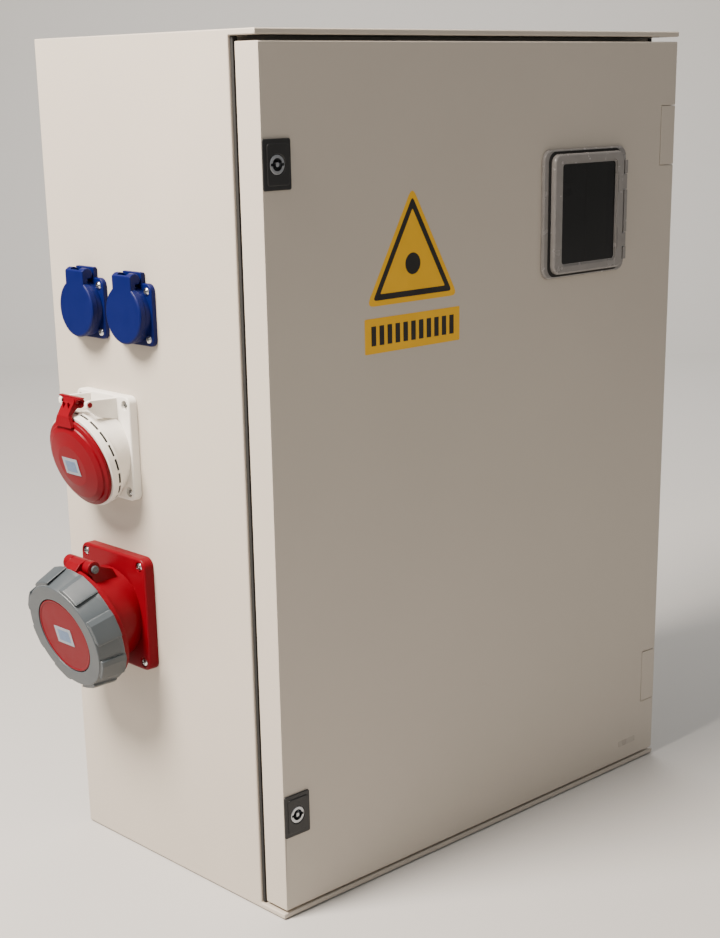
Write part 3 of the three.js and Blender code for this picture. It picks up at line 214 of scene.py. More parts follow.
def make_finishes(tones):
    """Every finish on the box, from the colours in the sidebar."""
    white = hex_colour("#ffffff")
    # Polyester powder coat, sprayed and baked: a soft satin with orange peel about 1 mm across.
    coat = surface("polyester_powder_coat", tones.coat, 0.42, 1.1, bump=0.16, depth=0.05,
                   mottle=0.02, rough_spread=0.03, coarse=120.0)
    # The coat gets a lighter tone near its edges and a darker one towards the bottom of the box.
    FINISHES["coat"] = darkened_low_down(edge_wear_and_highlight(coat, white, 0.35), hex_colour("#9a8f80"), 0.0, 0.25, 0.16)
    # Zinc-plated steel: grey metal with a soft uneven spangle.
    FINISHES["zinc"] = surface("zinc_plated_steel", hex_colour("#b9bcc0"), 0.34, 0.6, metallic=1.0,
                               bump=0.08, depth=0.02, mottle=0.08, rough_spread=0.1, coarse=9.0)
    # Stainless screws: bright and smooth, with a faint turned grain.
    FINISHES["stainless"] = surface("stainless_steel", hex_colour("#d7d8d8"), 0.22, 0.25,
                                    metallic=1.0, bump=0.05, depth=0.01, coarse=4.0)
    # Glass-filled nylon: matt black, with a spark-eroded grain of about 0.4 mm.
    FINISHES["black"] = edge_wear_and_highlight(surface("black_glass_filled_nylon", tones.black, 0.46, 0.4, bump=0.22,
                                     depth=0.04, rough_spread=0.06, coarse=20.0),
                             hex_colour("#4a4a4c"), 0.5)
    # Polyamide sockets: satin mouldings. Their fine texture is drawn 0.5 mm coarse, to show.
    # The lighter edge tone on the blue and red mouldings is a painted highlight.
    FINISHES["blue"] = edge_wear_and_highlight(surface("blue_polyamide", tones.blue, 0.42, 0.5, ior=1.53, bump=0.07,
                                    depth=0.02, mottle=0.05, rough_spread=0.06, coarse=14.0,
                                    Specular_IOR_Level=0.14),
                            hex_colour("#3150a8"), 0.4)
    FINISHES["red"] = edge_wear_and_highlight(surface("red_polyamide", tones.red, 0.38, 0.5, ior=1.53, bump=0.07,
                                   depth=0.02, mottle=0.05, rough_spread=0.06, coarse=16.0,
                                   Specular_IOR_Level=0.1),
                           hex_colour("#cf3a40"), 0.35)
    # The darker tone on the lower part of the white housing, between 0.30 and 0.37 m high, is painted
    # shade.
    FINISHES["white"] = darkened_low_down(surface("white_polyamide", tones.white, 0.38, 0.5, ior=1.53,
                                       bump=0.05, depth=0.02, mottle=0.03, coarse=18.0),
                               hex_colour("#b8ac9c"), 0.30, 0.37, 0.25)
    # The near-white edge tone on the grey mouldings is a painted highlight.
    FINISHES["grey"] = edge_wear_and_highlight(surface("grey_polyamide", tones.grey, 0.4, 0.45, ior=1.53, bump=0.1,
                                    depth=0.03, mottle=0.05, coarse=14.0),
                            hex_colour("#d9dcdc"), 0.75)
    # Clear-grey polycarbonate of the window frame: slightly milky, smooth and glossy.
    FINISHES["frame"] = edge_wear_and_highlight(surface("milky_polycarbonate", tones.window, 0.24, 0.8, ior=1.58,
                                     bump=0.04, depth=0.02, mottle=0.08, coarse=10.0,
                                     Transmission_Weight=0.15),
                             hex_colour("#e6e4e0"), 0.18)
    # Smoked polycarbonate pane: dark, clear and flat.
    FINISHES["pane"] = surface("smoked_polycarbonate", hex_colour("#4c4c4e"), 0.06, 6.0, ior=1.58,
                               bump=0.01, depth=0.02, mottle=0.02, rough_spread=0.02,
                               Transmission_Weight=0.92)
    # Switchgear mouldings: pale grey thermoset, matt, with a slight speckle.
    FINISHES["device"] = surface("pale_thermoset", hex_colour("#d8d8d3"), 0.5, 0.4, bump=0.1,
                                 depth=0.02, mottle=0.03, coarse=12.0)
    FINISHES["green"] = surface("green_polyamide", hex_colour("#4f8f35"), 0.45, 0.4, mottle=0.06,
                                coarse=8.0)
    # Foamed polyurethane door seal: dull black, with open pores under a millimetre. The same dull black
    # also makes the pieces that paint shade in gaps, grooves and slots.
    FINISHES["seal"] = surface("foamed_polyurethane", hex_colour("#1d1c1b"), 0.85, 0.7, bump=0.5,
                               depth=0.15, mottle=0.15, coarse=5.0)
    # Rubber sheath: dull black with a faint drag grain.
    FINISHES["sheath"] = surface("chloroprene_sheath", hex_colour("#1a1a1b"), 0.62, 0.5, bump=0.15,
                                 depth=0.03, mottle=0.12, coarse=10.0)
    FINISHES["brass"] = surface("drawn_brass", hex_colour("#c2a35a"), 0.3, 0.4, metallic=1.0,
                                bump=0.06, depth=0.01, mottle=0.08, coarse=6.0)
    # Printed vinyl: saturated colour under a thin clear film, smooth.
    FINISHES["yellow_vinyl"] = surface("yellow_vinyl", tones.yellow, 0.34, 1.5, bump=0.03,
                                       depth=0.02, mottle=0.04, coarse=15.0)
    FINISHES["black_vinyl"] = surface("black_vinyl", hex_colour("#171513"), 0.34, 1.5, bump=0.03,
                                      depth=0.02, coarse=15.0)
    FINISHES["clear_vinyl"] = surface("clear_vinyl", hex_colour("#aba297"), 0.28, 1.5, bump=0.03,
                                      depth=0.02, coarse=15.0)
    FINISHES["plate"] = surface("anodised_label", hex_colour("#8a929c"), 0.35, 0.6, metallic=0.2,
                                bump=0.06, depth=0.02, mottle=0.15, coarse=3.0)
    FINISHES["tint"] = surface("anodised_label_field", hex_colour("#5d7595"), 0.35, 0.6,
                               metallic=0.2, bump=0.06, depth=0.02, mottle=0.25, coarse=2.5)


# ---------- shapes, drawn in millimetres ----------
def arc(cx, cy, radius, start, end, steps):
    """Points on an arc, angles in degrees."""
    return [(cx + radius * math.cos(math.radians(start + (end - start) * i / steps)),
             cy + radius * math.sin(math.radians(start + (end - start) * i / steps)))
            for i in range(steps + 1)]


def rounded(points, steps=4, closed=True):
    """Points with an optional third value, the radius that their corner is rounded to."""
    out = []
    count = len(points)
    for i, point in enumerate(points):
        here = Vector(point[:2])
        radius = point[2] if len(point) > 2 else 0
        if not radius or (not closed and i in (0, count - 1)):
            out.append(tuple(here))
            continue
        back = (Vector(points[i - 1][:2]) - here)
        on = (Vector(points[(i + 1) % count][:2]) - here)
        half = back.angle(on) / 2
        reach = min(radius / math.tan(half), back.length * 0.49, on.length * 0.49)
        start, end = here + back.normalized() * reach, here + on.normalized() * reach
        for k in range(steps + 1):
            t = k / steps
            out.append(tuple(start * (1 - t) ** 2 + here * 2 * t * (1 - t) + end * t * t))
    return out


def rectangle(width, height, radius, cx=0.0, cy=0.0, steps=6):
    """A rounded rectangle's points, anticlockwise."""
    hw, hh = width / 2 - radius, height / 2 - radius
    ends = ((hw, -hh, -90), (hw, hh, 0), (-hw, hh, 90), (-hw, -hh, 180))
    return [p for x, y, a in ends for p in arc(cx + x, cy + y, radius, a, a + 90, steps)]


def inset(points, amount):
    """The outline moved inwards; the points go anticlockwise."""
    out = []
    for i, point in enumerate(points):
        here, before = Vector(point), Vector(points[i - 1])
        after = Vector(points[(i + 1) % len(points)])
        a = (here - before).normalized()
        b = (after - here).normalized()
        normal = Vector((-a.y - b.y, a.x + b.x)).normalized()
        lean = max(0.3, normal.dot(Vector((-a.y, a.x))))
        out.append(tuple(here + normal * amount / lean))
    return out


def loft(loops):
    """A closed solid through loops of equally many points, with flat ends."""
    bm = bmesh.new()
    rows = [[bm.verts.new(p) for p in loop] for loop in loops]
    count = len(rows[0])
    for low, high in zip(rows, rows[1:]):
        for i in range(count):
            j = (i + 1) % count
            bm.faces.new((low[i], low[j], high[j], high[i]))
    bm.faces.new(rows[0][::-1])
    bm.faces.new(rows[-1])
    return bm


def prism(points, low, high, round_low=0.0, round_high=0.0, steps=3):
    """An outline drawn out along Z, with its end edges rounded."""
    area = sum(p[0] * q[1] - q[0] * p[1] for p, q in zip(points, points[1:] + points[:1]))
    if area < 0:
        points = points[::-1]
    loops = []
    for k in range(steps + 1) if round_low else ():
        a = math.pi / 2 * k / steps
        loops.append((round_low * (1 - math.sin(a)), low + round_low * (1 - math.cos(a))))
    if not round_low:
        loops.append((0.0, low))
    if not round_high:
        loops.append((0.0, high))
    for k in range(steps + 1) if round_high else ():
        a = math.pi / 2 * k / steps
        loops.append((round_high * (1 - math.cos(a)), high - round_high * (1 - math.sin(a))))
    return loft([[(x, y, z) for x, y in (inset(points, shrink) if shrink else points)]
                 for shrink, z in loops])


def block(x0, x1, y0, y1, z0, z1, edge=0.4):
    """A box with rounded edges."""
    edge = min(edge, (x1 - x0) / 3, (y1 - y0) / 3, (z1 - z0) / 3)
    corner = rectangle(x1 - x0, y1 - y0, edge * 1.01, (x0 + x1) / 2, (y0 + y1) / 2, 3)
    return prism(corner, z0, z1, edge, edge)


def lathe(profile, segments=96, steps=3):
    """A solid turned about Z. Profile points are (radius, z, corner radius); an open profile starts
    and ends on the axis, and a closed one is a ring."""
    closed = profile[0][0] > 0
    points = rounded(profile, steps, closed)
    bm = bmesh.new()
    rows = []
    for r, z in points:
        if r < 1e-6:
            rows.append([bm.verts.new((0, 0, z))])
            continue
        rows.append([bm.verts.new((r * math.cos(2 * math.pi * i / segments),
                                   r * math.sin(2 * math.pi * i / segments), z))
                     for i in range(segments)])
    pairs = list(zip(rows, rows[1:])) + ([(rows[-1], rows[0])] if closed else [])
    for low, high in pairs:
        for i in range(segments):
            j = (i + 1) % segments
            quad = [low[i % len(low)], low[j % len(low)], high[j % len(high)], high[i % len(high)]]
            corners = [v for n, v in enumerate(quad) if v not in quad[:n]]
            if len(corners) > 2:
                bm.faces.new(corners)
    bmesh.ops.recalc_face_normals(bm, faces=bm.faces)
    return bm


def disc(radius, low, high, edge=0.0, segments=96):
    """A round solid on Z, with rounded rims."""
    return lathe([(0, low), (radius, low, edge), (radius, high, edge), (0, high)], segments)


ALONG = {
    "x": Matrix(((0, 0, 1, 0), (1, 0, 0, 0), (0, 1, 0, 0), (0, 0, 0, 1))),
    "y": Matrix(((1, 0, 0, 0), (0, 0, -1, 0), (0, 1, 0, 0), (0, 0, 0, 1))),
}


def moved(bm, *matrices):
    """The shape after the matrices, the last one first."""
    for matrix in reversed(matrices):
        bm.transform(matrix)
    return bm


def across(points, low, high, edge=0.0):
    """An outline of (y, z) points drawn out along X."""
    return moved(prism(points, low, high, edge, edge), ALONG["x"])


def bar(radius, low, high, y, z, edge=0.0, segments=32):
    """A round bar along X."""
    return moved(disc(radius, low, high, edge, segments), Matrix.Translation((0, y, z)), ALONG["x"])


def seat(tilt, up, out):
    """The place of an industrial socket's own axis on its flange."""
    return Matrix.Translation((0, up, out)) @ Matrix.Rotation(math.radians(tilt), 4, "X")


def on_panel(y, z):
    """The left panel at (y, z): local X goes to the front, Y up and Z out of the panel."""
    return Matrix(((0, 0, -1, LEFT), (-1, 0, 0, y), (0, 1, 0, z), (0, 0, 0, 1)))


def as_object(bm, name="shape"):
    mesh = bpy.data.meshes.new(name)
    bm.to_mesh(mesh)
    bm.free()
    obj = bpy.data.objects.new(name, mesh)
    bpy.context.scene.collection.objects.link(obj)
    return obj


def baked(obj):
    """The evaluated mesh of an object, which is then removed."""
    bpy.context.view_layer.update()
    depsgraph = bpy.context.evaluated_depsgraph_get()
    mesh = bpy.data.meshes.new_from_object(obj.evaluated_get(depsgraph))
    bpy.data.objects.remove(obj)
    return mesh


def solid(adds, cuts=()):
    """Joins the first shapes and cuts the others away."""
    base = as_object(adds[0])
    tools = []
    for operation, group in (("UNION", adds[1:]), ("DIFFERENCE", cuts)):
        for shape in group:
            tools.append(as_object(shape))
            step = base.modifiers.new("step", "BOOLEAN")
            step.operation = operation
            step.solver = "MANIFOLD"
            step.object = tools[-1]
    mesh = baked(base)
    for tool in tools:
        bpy.data.objects.remove(tool)
    if not mesh.polygons:
        raise RuntimeError("a boolean left nothing")
    bm = bmesh.new()
    bm.from_mesh(mesh)
    bpy.data.meshes.remove(mesh)
    return bm


def piece(name, shape, finish, body, replaced=(), to_world=None, smooth=38.0):
    """Names a finished shape, gives it its finish and lets it ride on a body."""
    if to_world is not None:
        moved(shape, to_world)
    moved(shape, Matrix.Scale(MM, 4))
    obj = as_object(shape, name)
    obj.data.materials.append(FINISHES[finish])
    for face in obj.data.polygons:
        face.use_smooth = True
        face.material_index = 0
    obj.data.set_sharp_from_angle(angle=math.radians(smooth))
    even = obj.modifiers.new("even_shading", "WEIGHTED_NORMAL")
    even.keep_sharp = True
    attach(obj, body)
    if replaced:
        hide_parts(*([replaced] if isinstance(replaced, str) else replaced))
    return obj


def body_of(node):
    return NODES[node]["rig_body"]


def softened(node, finish, edge=0.5, steps=2, rounds=0):
    """A copy of a CAD node with its edges rounded, which stands for the node."""
    bm = bmesh.new()
    bm.from_mesh(NODES[node].data)
    bmesh.ops.remove_doubles(bm, verts=bm.verts, dist=1e-6)
    bmesh.ops.dissolve_limit(bm, angle_limit=math.radians(1), verts=bm.verts, edges=bm.edges)
    moved(bm, Matrix.Scale(1 / MM, 4))
    obj = piece(node + "_finished", bm, finish, body_of(node), node)
    obj.modifiers.clear()
    if edge:
        bevel = obj.modifiers.new("rounded_edges", "BEVEL")
        bevel.width = edge * MM
        bevel.segments = steps
        bevel.limit_method = "ANGLE"
        bevel.angle_limit = math.radians(50)
        bevel.use_clamp_overlap = False
        bevel.miter_outer = "MITER_ARC"
    if rounds:
        subsurf = obj.modifiers.new("rounder", "SUBSURF")
        subsurf.levels = subsurf.render_levels = rounds
    even = obj.modifiers.new("even_shading", "WEIGHTED_NORMAL")
    even.keep_sharp = True
    return obj


# ---------- repeats, made with Geometry Nodes ----------
def node_group(name, inputs):
    """A Geometry Nodes tree with a geometry input and output and the named inputs given."""
    tree = bpy.data.node_groups.new(name, "GeometryNodeTree")
    face = tree.interface
    face.new_socket("Geometry", in_out="INPUT", socket_type="NodeSocketGeometry")
    for label, kind, default in inputs:
        socket = face.new_socket(label, in_out="INPUT", socket_type=kind)
        if default is not None:
            socket.default_value = default
    face.new_socket("Geometry", in_out="OUTPUT", socket_type="NodeSocketGeometry")
    return tree, add(tree, "NodeGroupInput"), add(tree, "NodeGroupOutput")


def screw_tree():
    """Cross-recessed pan-head screws on the points of a mesh, each turned by a seeded random angle."""
    tree, start, end = node_group("pan_head_screws", [
        ("Head Radius", "NodeSocketFloat", 0.0032), ("Head Height", "NodeSocketFloat", 0.002),
        ("Recess", "NodeSocketFloat", 0.0011), ("Tilt", "NodeSocketRotation", None),
        ("Seed", "NodeSocketInt", 7), ("Finish", "NodeSocketMaterial", None)])
    radius, height = start.outputs["Head Radius"], start.outputs["Head Height"]
    # The head is a flattened ball, with two crossed blades taken out of its top.
    half = add(tree, "ShaderNodeMath", {"operation": "MULTIPLY"}, i0=height, i1=2.0)
    shape = add(tree, "ShaderNodeCombineXYZ", X=radius, Y=radius, Z=height)
    ball = add(tree, "GeometryNodeMeshUVSphere", Segments=28, Rings=16, Radius=1.0)
    head = add(tree, "GeometryNodeTransform", Geometry=ball.outputs["Mesh"],
               Scale=shape.outputs["Vector"])
    blades = []
    for turned in (0.0, math.pi / 2):
        long = add(tree, "ShaderNodeMath", {"operation": "MULTIPLY"}, i0=radius, i1=1.15)
        size = add(tree, "ShaderNodeCombineXYZ", X=long.outputs[0], Y=start.outputs["Recess"],
                   Z=half.outputs[0])
        cube = add(tree, "GeometryNodeMeshCube", Size=size.outputs["Vector"])
        up = add(tree, "ShaderNodeCombineXYZ", Z=half.outputs[0])
        blade = add(tree, "GeometryNodeTransform", Geometry=cube.outputs["Mesh"],
                    Translation=up.outputs["Vector"], Rotation=(0.0, 0.0, turned))
        lower = add(tree, "ShaderNodeMath", {"operation": "MULTIPLY"}, i0=height, i1=-0.75)
        down = add(tree, "ShaderNodeCombineXYZ", Z=lower.outputs[0])
        blades.append(add(tree, "GeometryNodeTransform", Geometry=blade.outputs["Geometry"],
                          Translation=down.outputs["Vector"]))
    cut = add(tree, "GeometryNodeMeshBoolean", {"operation": "DIFFERENCE"})
    tree.links.new(head.outputs["Geometry"], cut.inputs[0])
    for blade in blades:
        tree.links.new(blade.outputs["Geometry"], cut.inputs[1])
    spin = add(tree, "FunctionNodeRandomValue", {"data_type": "FLOAT"}, Seed=start.outputs["Seed"])
    spin.inputs[2].default_value = 0.0
    spin.inputs[3].default_value = math.pi
    axis = add(tree, "ShaderNodeCombineXYZ", Z=spin.outputs[1])
    own = add(tree, "FunctionNodeRotateRotation", {"rotation_space": "LOCAL"},
              Rotation=start.outputs["Tilt"], i1=axis.outputs["Vector"])
    spread = add(tree, "GeometryNodeInstanceOnPoints", Points=start.outputs["Geometry"],
                 Instance=cut.outputs["Mesh"], Rotation=own.outputs["Rotation"])
    real = add(tree, "GeometryNodeRealizeInstances", Geometry=spread.outputs["Instances"])
    dressed = add(tree, "GeometryNodeSetMaterial", Geometry=real.outputs["Geometry"],
                  Material=start.outputs["Finish"])
    tree.links.new(dressed.outputs["Geometry"], end.inputs["Geometry"])
    return tree


def ring_tree():
    """Equal blocks spaced round Z, such as slots, ribs and flutes."""
    tree, start, end = node_group("blocks_round_an_axis", [
        ("Count", "NodeSocketInt", 8), ("Radius", "NodeSocketFloat", 0.04),
        ("Size", "NodeSocketVector", (0.01, 0.002, 0.002)), ("Height", "NodeSocketFloat", 0.0),
        ("Finish", "NodeSocketMaterial", None)])
    circle = add(tree, "GeometryNodeMeshCircle", Vertices=start.outputs["Count"],
                 Radius=start.outputs["Radius"])
    lift = add(tree, "ShaderNodeCombineXYZ", Z=start.outputs["Height"])
    raised = add(tree, "GeometryNodeTransform", Geometry=circle.outputs["Mesh"],
                 Translation=lift.outputs["Vector"])
    here = add(tree, "GeometryNodeInputPosition")
    flat = add(tree, "ShaderNodeVectorMath", {"operation": "MULTIPLY"}, i0=here.outputs[0],
               i1=(1.0, 1.0, 0.0))
    face = add(tree, "FunctionNodeAlignRotationToVector", {"axis": "X"}, Vector=flat.outputs[0])
    cube = add(tree, "GeometryNodeMeshCube", Size=start.outputs["Size"])
    spread = add(tree, "GeometryNodeInstanceOnPoints", Points=raised.outputs["Geometry"],
                 Instance=cube.outputs["Mesh"], Rotation=face.outputs[0])
    real = add(tree, "GeometryNodeRealizeInstances", Geometry=spread.outputs["Instances"])
    dressed = add(tree, "GeometryNodeSetMaterial", Geometry=real.outputs["Geometry"],
                  Material=start.outputs["Finish"])
    tree.links.new(dressed.outputs["Geometry"], end.inputs["Geometry"])
    return tree


def grown(tree, points, values):
    """The mesh that a tree makes on the given points, with its inputs set by their labels."""
    mesh = bpy.data.meshes.new("seeds")
    mesh.from_pydata([tuple(p) for p in points], [], [])
    obj = bpy.data.objects.new("seeds", mesh)
    bpy.context.scene.collection.objects.link(obj)
    modifier = obj.modifiers.new("repeat", "NODES")
    modifier.node_group = tree
    for item in tree.interface.items_tree:
        if item.item_type == "SOCKET" and item.in_out == "INPUT" and item.name in values:
            modifier[item.identifier] = values[item.name]
    result = baked(obj)
    bm = bmesh.new()
    bm.from_mesh(result)
    bpy.data.meshes.remove(result)
    moved(bm, Matrix.Scale(1 / MM, 4))
    return bm


TREES = {}


def screws(name, places, to_world, radius, height, body="enclosure", recess=0.0011, finish="stainless",
           seed=7):
    """Screw heads standing on +Z of a local frame, as one piece."""
    if "screw" not in TREES:
        TREES["screw"] = screw_tree()
    heads = grown(TREES["screw"], [Vector(p) * MM for p in places], {
        "Head Radius": radius * MM, "Head Height": height * MM, "Recess": recess, "Seed": seed,
        "Finish": FINISHES[finish]})
    return piece(name, heads, finish, body, to_world=to_world, smooth=45)


def ring_of_blocks(count, radius, size, height):
    """Blocks spaced round Z, in millimetres."""
    if "ring" not in TREES:
        TREES["ring"] = ring_tree()
    return grown(TREES["ring"], [(0, 0, 0)], {
        "Count": count, "Radius": radius * MM, "Size": [v * MM for v in size],
        "Height": height * MM, "Finish": FINISHES["black"]})


def joined(shapes):
    """Several shapes in one, without cutting them together."""
    whole = bmesh.new()
    for shape in shapes:
        mesh = bpy.data.meshes.new("part")
        shape.to_mesh(mesh)
        shape.free()
        whole.from_mesh(mesh)
        bpy.data.meshes.remove(mesh)
    return whole


def square(dx, dy, z=0.0):
    """Four places at the corners of a rectangle."""
    return [(sx * dx / 2, sy * dy / 2, z) for sx in (-1, 1) for sy in (-1, 1)]


# ---------- the small sockets ----------
def small_socket(name, place):
    """Square flange, collar and well; a round flap with a hood over its spring hinge."""
    world = on_panel(*place)
    flange = prism(rectangle(50, 50, 6), 0.3, 4.3, 0.0, 1.1)
    hinge_plate = block(-12.5, 12.5, 18, 33.4, 0.3, 4.3, 0.8)
    collar = solid([disc(23.2, 3, 9.4, 0.5)], [block(-13.5, 13.5, 21.4, 25.3, 4.3, 11, 0.1)])
    lug = solid([block(-5.7, 5.7, 25.5, 29.5, 3, 10.4, 0.3), bar(3.2, -5.7, 5.7, 27.5, 10.4, 0.4)])
    holes = [moved(disc(1.7, -1, 10, 0, 24), Matrix.Translation(p)) for p in square(38, 38)]
    pins = [moved(disc(2.6, -32, -6, 0, 24), Matrix.Translation((x, 0, 0))) for x in (-9.5, 9.5)]
    notches = [block(-22, -18.3, -2.6, 2.6, -8, 20, 0.2), block(18.3, 22, -2.6, 2.6, -8, 20, 0.2)]
    body = solid([flange, collar, disc(21.5, -42, 1.3, 0.8), hinge_plate, lug],
                 holes + [disc(19.8, -9, 14)] + pins + notches + [bar(1.6, -7, 7, 27.5, 10.4)])
    piece(name + "_socket", body, "blue", "enclosure", name + "_body", world)
    clips = [block(-3.2, 3.2, s * 17.6 - 1.0, s * 17.6 + 1.0, -8.8, 5.4, 0.4) for s in (-1, 1)]
    piece(name + "_earth_clips", joined(clips), "stainless", "enclosure", to_world=world)
    screws(name + "_screws", square(38, 38, 4.3), world, 3.3, 1.7, seed=len(name))

    lid = lathe([(0, 9.8), (23.75, 9.8, 0.3), (23.75, 14.6, 1.3), (22.3, 15.3, 0.5), (0, 15.3)], 128)
    hood_line = rounded([(16, 9.8), (16, 15.3), (30.6, 15.3, 1.2), (32.9, 12.2, 3.0), (33.2, 9.4, 3.0),
                         (31.2, 6.0, 3.0), (27.5, 4.7, 2.0), (24.4, 6.2), (24.4, 9.8)])
    hood = across(hood_line, -12.5, 12.5, 1.0)
    seal = lathe([(16.5, 7.6), (18.6, 7.6), (18.6, 10.8), (16.5, 10.8)])
    slot = block(-6.3, 6.3, 23.9, 36, 0, 14.0, 0.3)  # clear of the lug all the way round its turn
    pivots = [bar(1.2, s * 5 - 2, s * 5 + 2, 27.5, 10.4) for s in (-1, 1)]
    flap = solid([solid([lid, hood, seal], [slot])] + pivots)
    piece(name + "_flap", flap, "blue", NODES[name + "_lid"]["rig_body"], name + "_lid", world)


def blank_label(name, width, height, face, crown, body, world):
    """A blank plate with a tinted field, on a face that falls by crown times the radius squared."""
    for part, w, h, low, high, finish in (("plate", width, height, 0.0, 0.25, "plate"),
                                          ("field", width * 0.68, height * 0.66, 0.2, 0.33, "tint")):
        cells = [prism(rectangle(w / 6, h / 4, 0.01, (i - 2.5) * w / 6, (j - 1.5) * h / 4, 1),
                       low, high)
                 for i in range(6) for j in range(4)]
        shape = joined(cells)
        for v in shape.verts:
            v.co.z += face - crown * (v.co.x ** 2 + v.co.y ** 2)
        piece(name + "_" + part, shape, finish, body, to_world=world)


# ---------- the white angled socket ----------
def white_socket():
    """Flange, tilted cup with a slotted collar, two ears, and a domed lid with a flared thumb tab."""
    world = on_panel(*CEE32_AXIS)
    axis = seat(*CEE32_SEAT)
    cup = solid([moved(lathe([(0, -6), (34.6, -6), (38.5, 14, 0.8), (41, 15, 0.8), (41, 25.1, 0.6),
                              (0, 25.1)], 128), axis)],
                [block(-100, 100, -100, 100, -40, 0.3, 0.1)])
    flange = prism(rectangle(75, 88, 6), 0.3, 8.3, 0.0, 1.4)
    ear_line = rounded([(42, 7.3), (43.0, 34, 1.0), (42.0, 38, 2.2), (37.0, 38, 2.2), (28, 26, 2.0),
                        (24, 7.3)])
    ears = [across(ear_line, s * 18.5 - 2, s * 18.5 + 2, 0.5) for s in (-1, 1)]
    slots = ring_of_blocks(20, 41.6, (3.6, 10.2, 2.2), 18.2)
    holes = [moved(disc(4.3, 5.3, 12, 0, 32), Matrix.Translation(p)) for p in square(62, 73)]
    shell = solid([solid([cup, flange, disc(31, -48, 2, 1.0)]), ears[0], ears[1]],
                  [moved(slots, axis)] + holes + [
                      moved(disc(31.5, 2.5, 32), axis), moved(disc(22.4, -12, 3.2), axis),
                      bar(2.4, -30, 30, 39.5, 35)])
    piece("white_socket_housing", shell, "white", "enclosure", "cee32_housing", world)
    # A dark band behind the collar's slots paints the shade inside them.
    band = lathe([(32.4, 15.6), (40.35, 15.6), (40.35, 20.8), (32.4, 20.8)], 96)
    piece("white_socket_slot_shade", band, "seal", "enclosure", to_world=world @ axis)
    screws("white_socket_screws", square(62, 73, 5.3), world, 3.9, 2.3, seed=11)

    dome = moved(lathe([(0, 33.7), (17, 32.7), (27, 30.5), (33, 27.5), (33, 25.5), (39, 25.5, 0.4),
                        (39, 28.3, 1.2), (35.4, 29.6, 0.7), (34.6, 31.0, 0.9), (30, 33.1, 3.0),
                        (18, 35.5, 8.0), (0, 36.3)], 128, 4), axis)
    arm_line = rounded([(21, 45.3), (21, 49), (30, 48.6, 4.0), (37, 44.6, 3.0), (41, 41.6, 2.0),
                        (45.4, 40.0, 0.8), (45.4, 37.2, 0.8), (43.7, 36.6, 0.6), (43.9, 33.6, 2.5),
                        (41.2, 31.0, 2.5), (37.4, 31.2, 2.5), (35.3, 34.0, 2.5), (36.0, 38.2, 1.0),
                        (33.4, 41.6, 1.5), (30.4, 44.7, 1.5), (26, 45.4)])
    arm = across(arm_line, -12, 12, 0.9)
    # The neck is narrowed in a curve above the dome.
    waist = [prism(rounded([(s * 24, 16), (s * 12.2, 21, 1.0), (s * 7.6, 31, 6.0), (s * 7.4, 50),
                            (s * 24, 50)]), 20, 60) for s in (-1, 1)]
    flare_line = rounded([(-7.6, 39.8), (7.6, 39.8), (9.5, 42.4, 3.0), (16, 44.2, 0.8),
                          (16, 45.4, 0.5), (-16, 45.4, 0.5), (-16, 44.2, 0.8), (-9.5, 42.4, 3.0)])
    flare = prism(flare_line, 36.6, 40.4, 0.5, 0.8)
    ribs = [block(s * 3.4 - 0.5, s * 3.4 + 0.5, 30, 41, 43.6, 45.6, 0.4) for s in (-1, 1)]
    neck = solid([solid([arm], waist), flare] + ribs)
    lid = solid([dome, neck], [bar(1.9, -30, 30, 39.5, 35)])
    piece("white_socket_lid", lid, "red", "cee32_flap", "cee32_lid", world)
    pin = solid([bar(1.5, -19.5, 21.2, 39.5, 35), bar(2.2, 20.6, 21.2, 39.5, 35, 0.2)])
    piece("white_socket_pin", pin, "red", "enclosure", "cee32_pin", world)
    # A small anodised plate lies on the dome, left blank.
    blank_label("white_socket", 21, 15, 36.25, 0.0021, "cee32_flap", world @ axis)


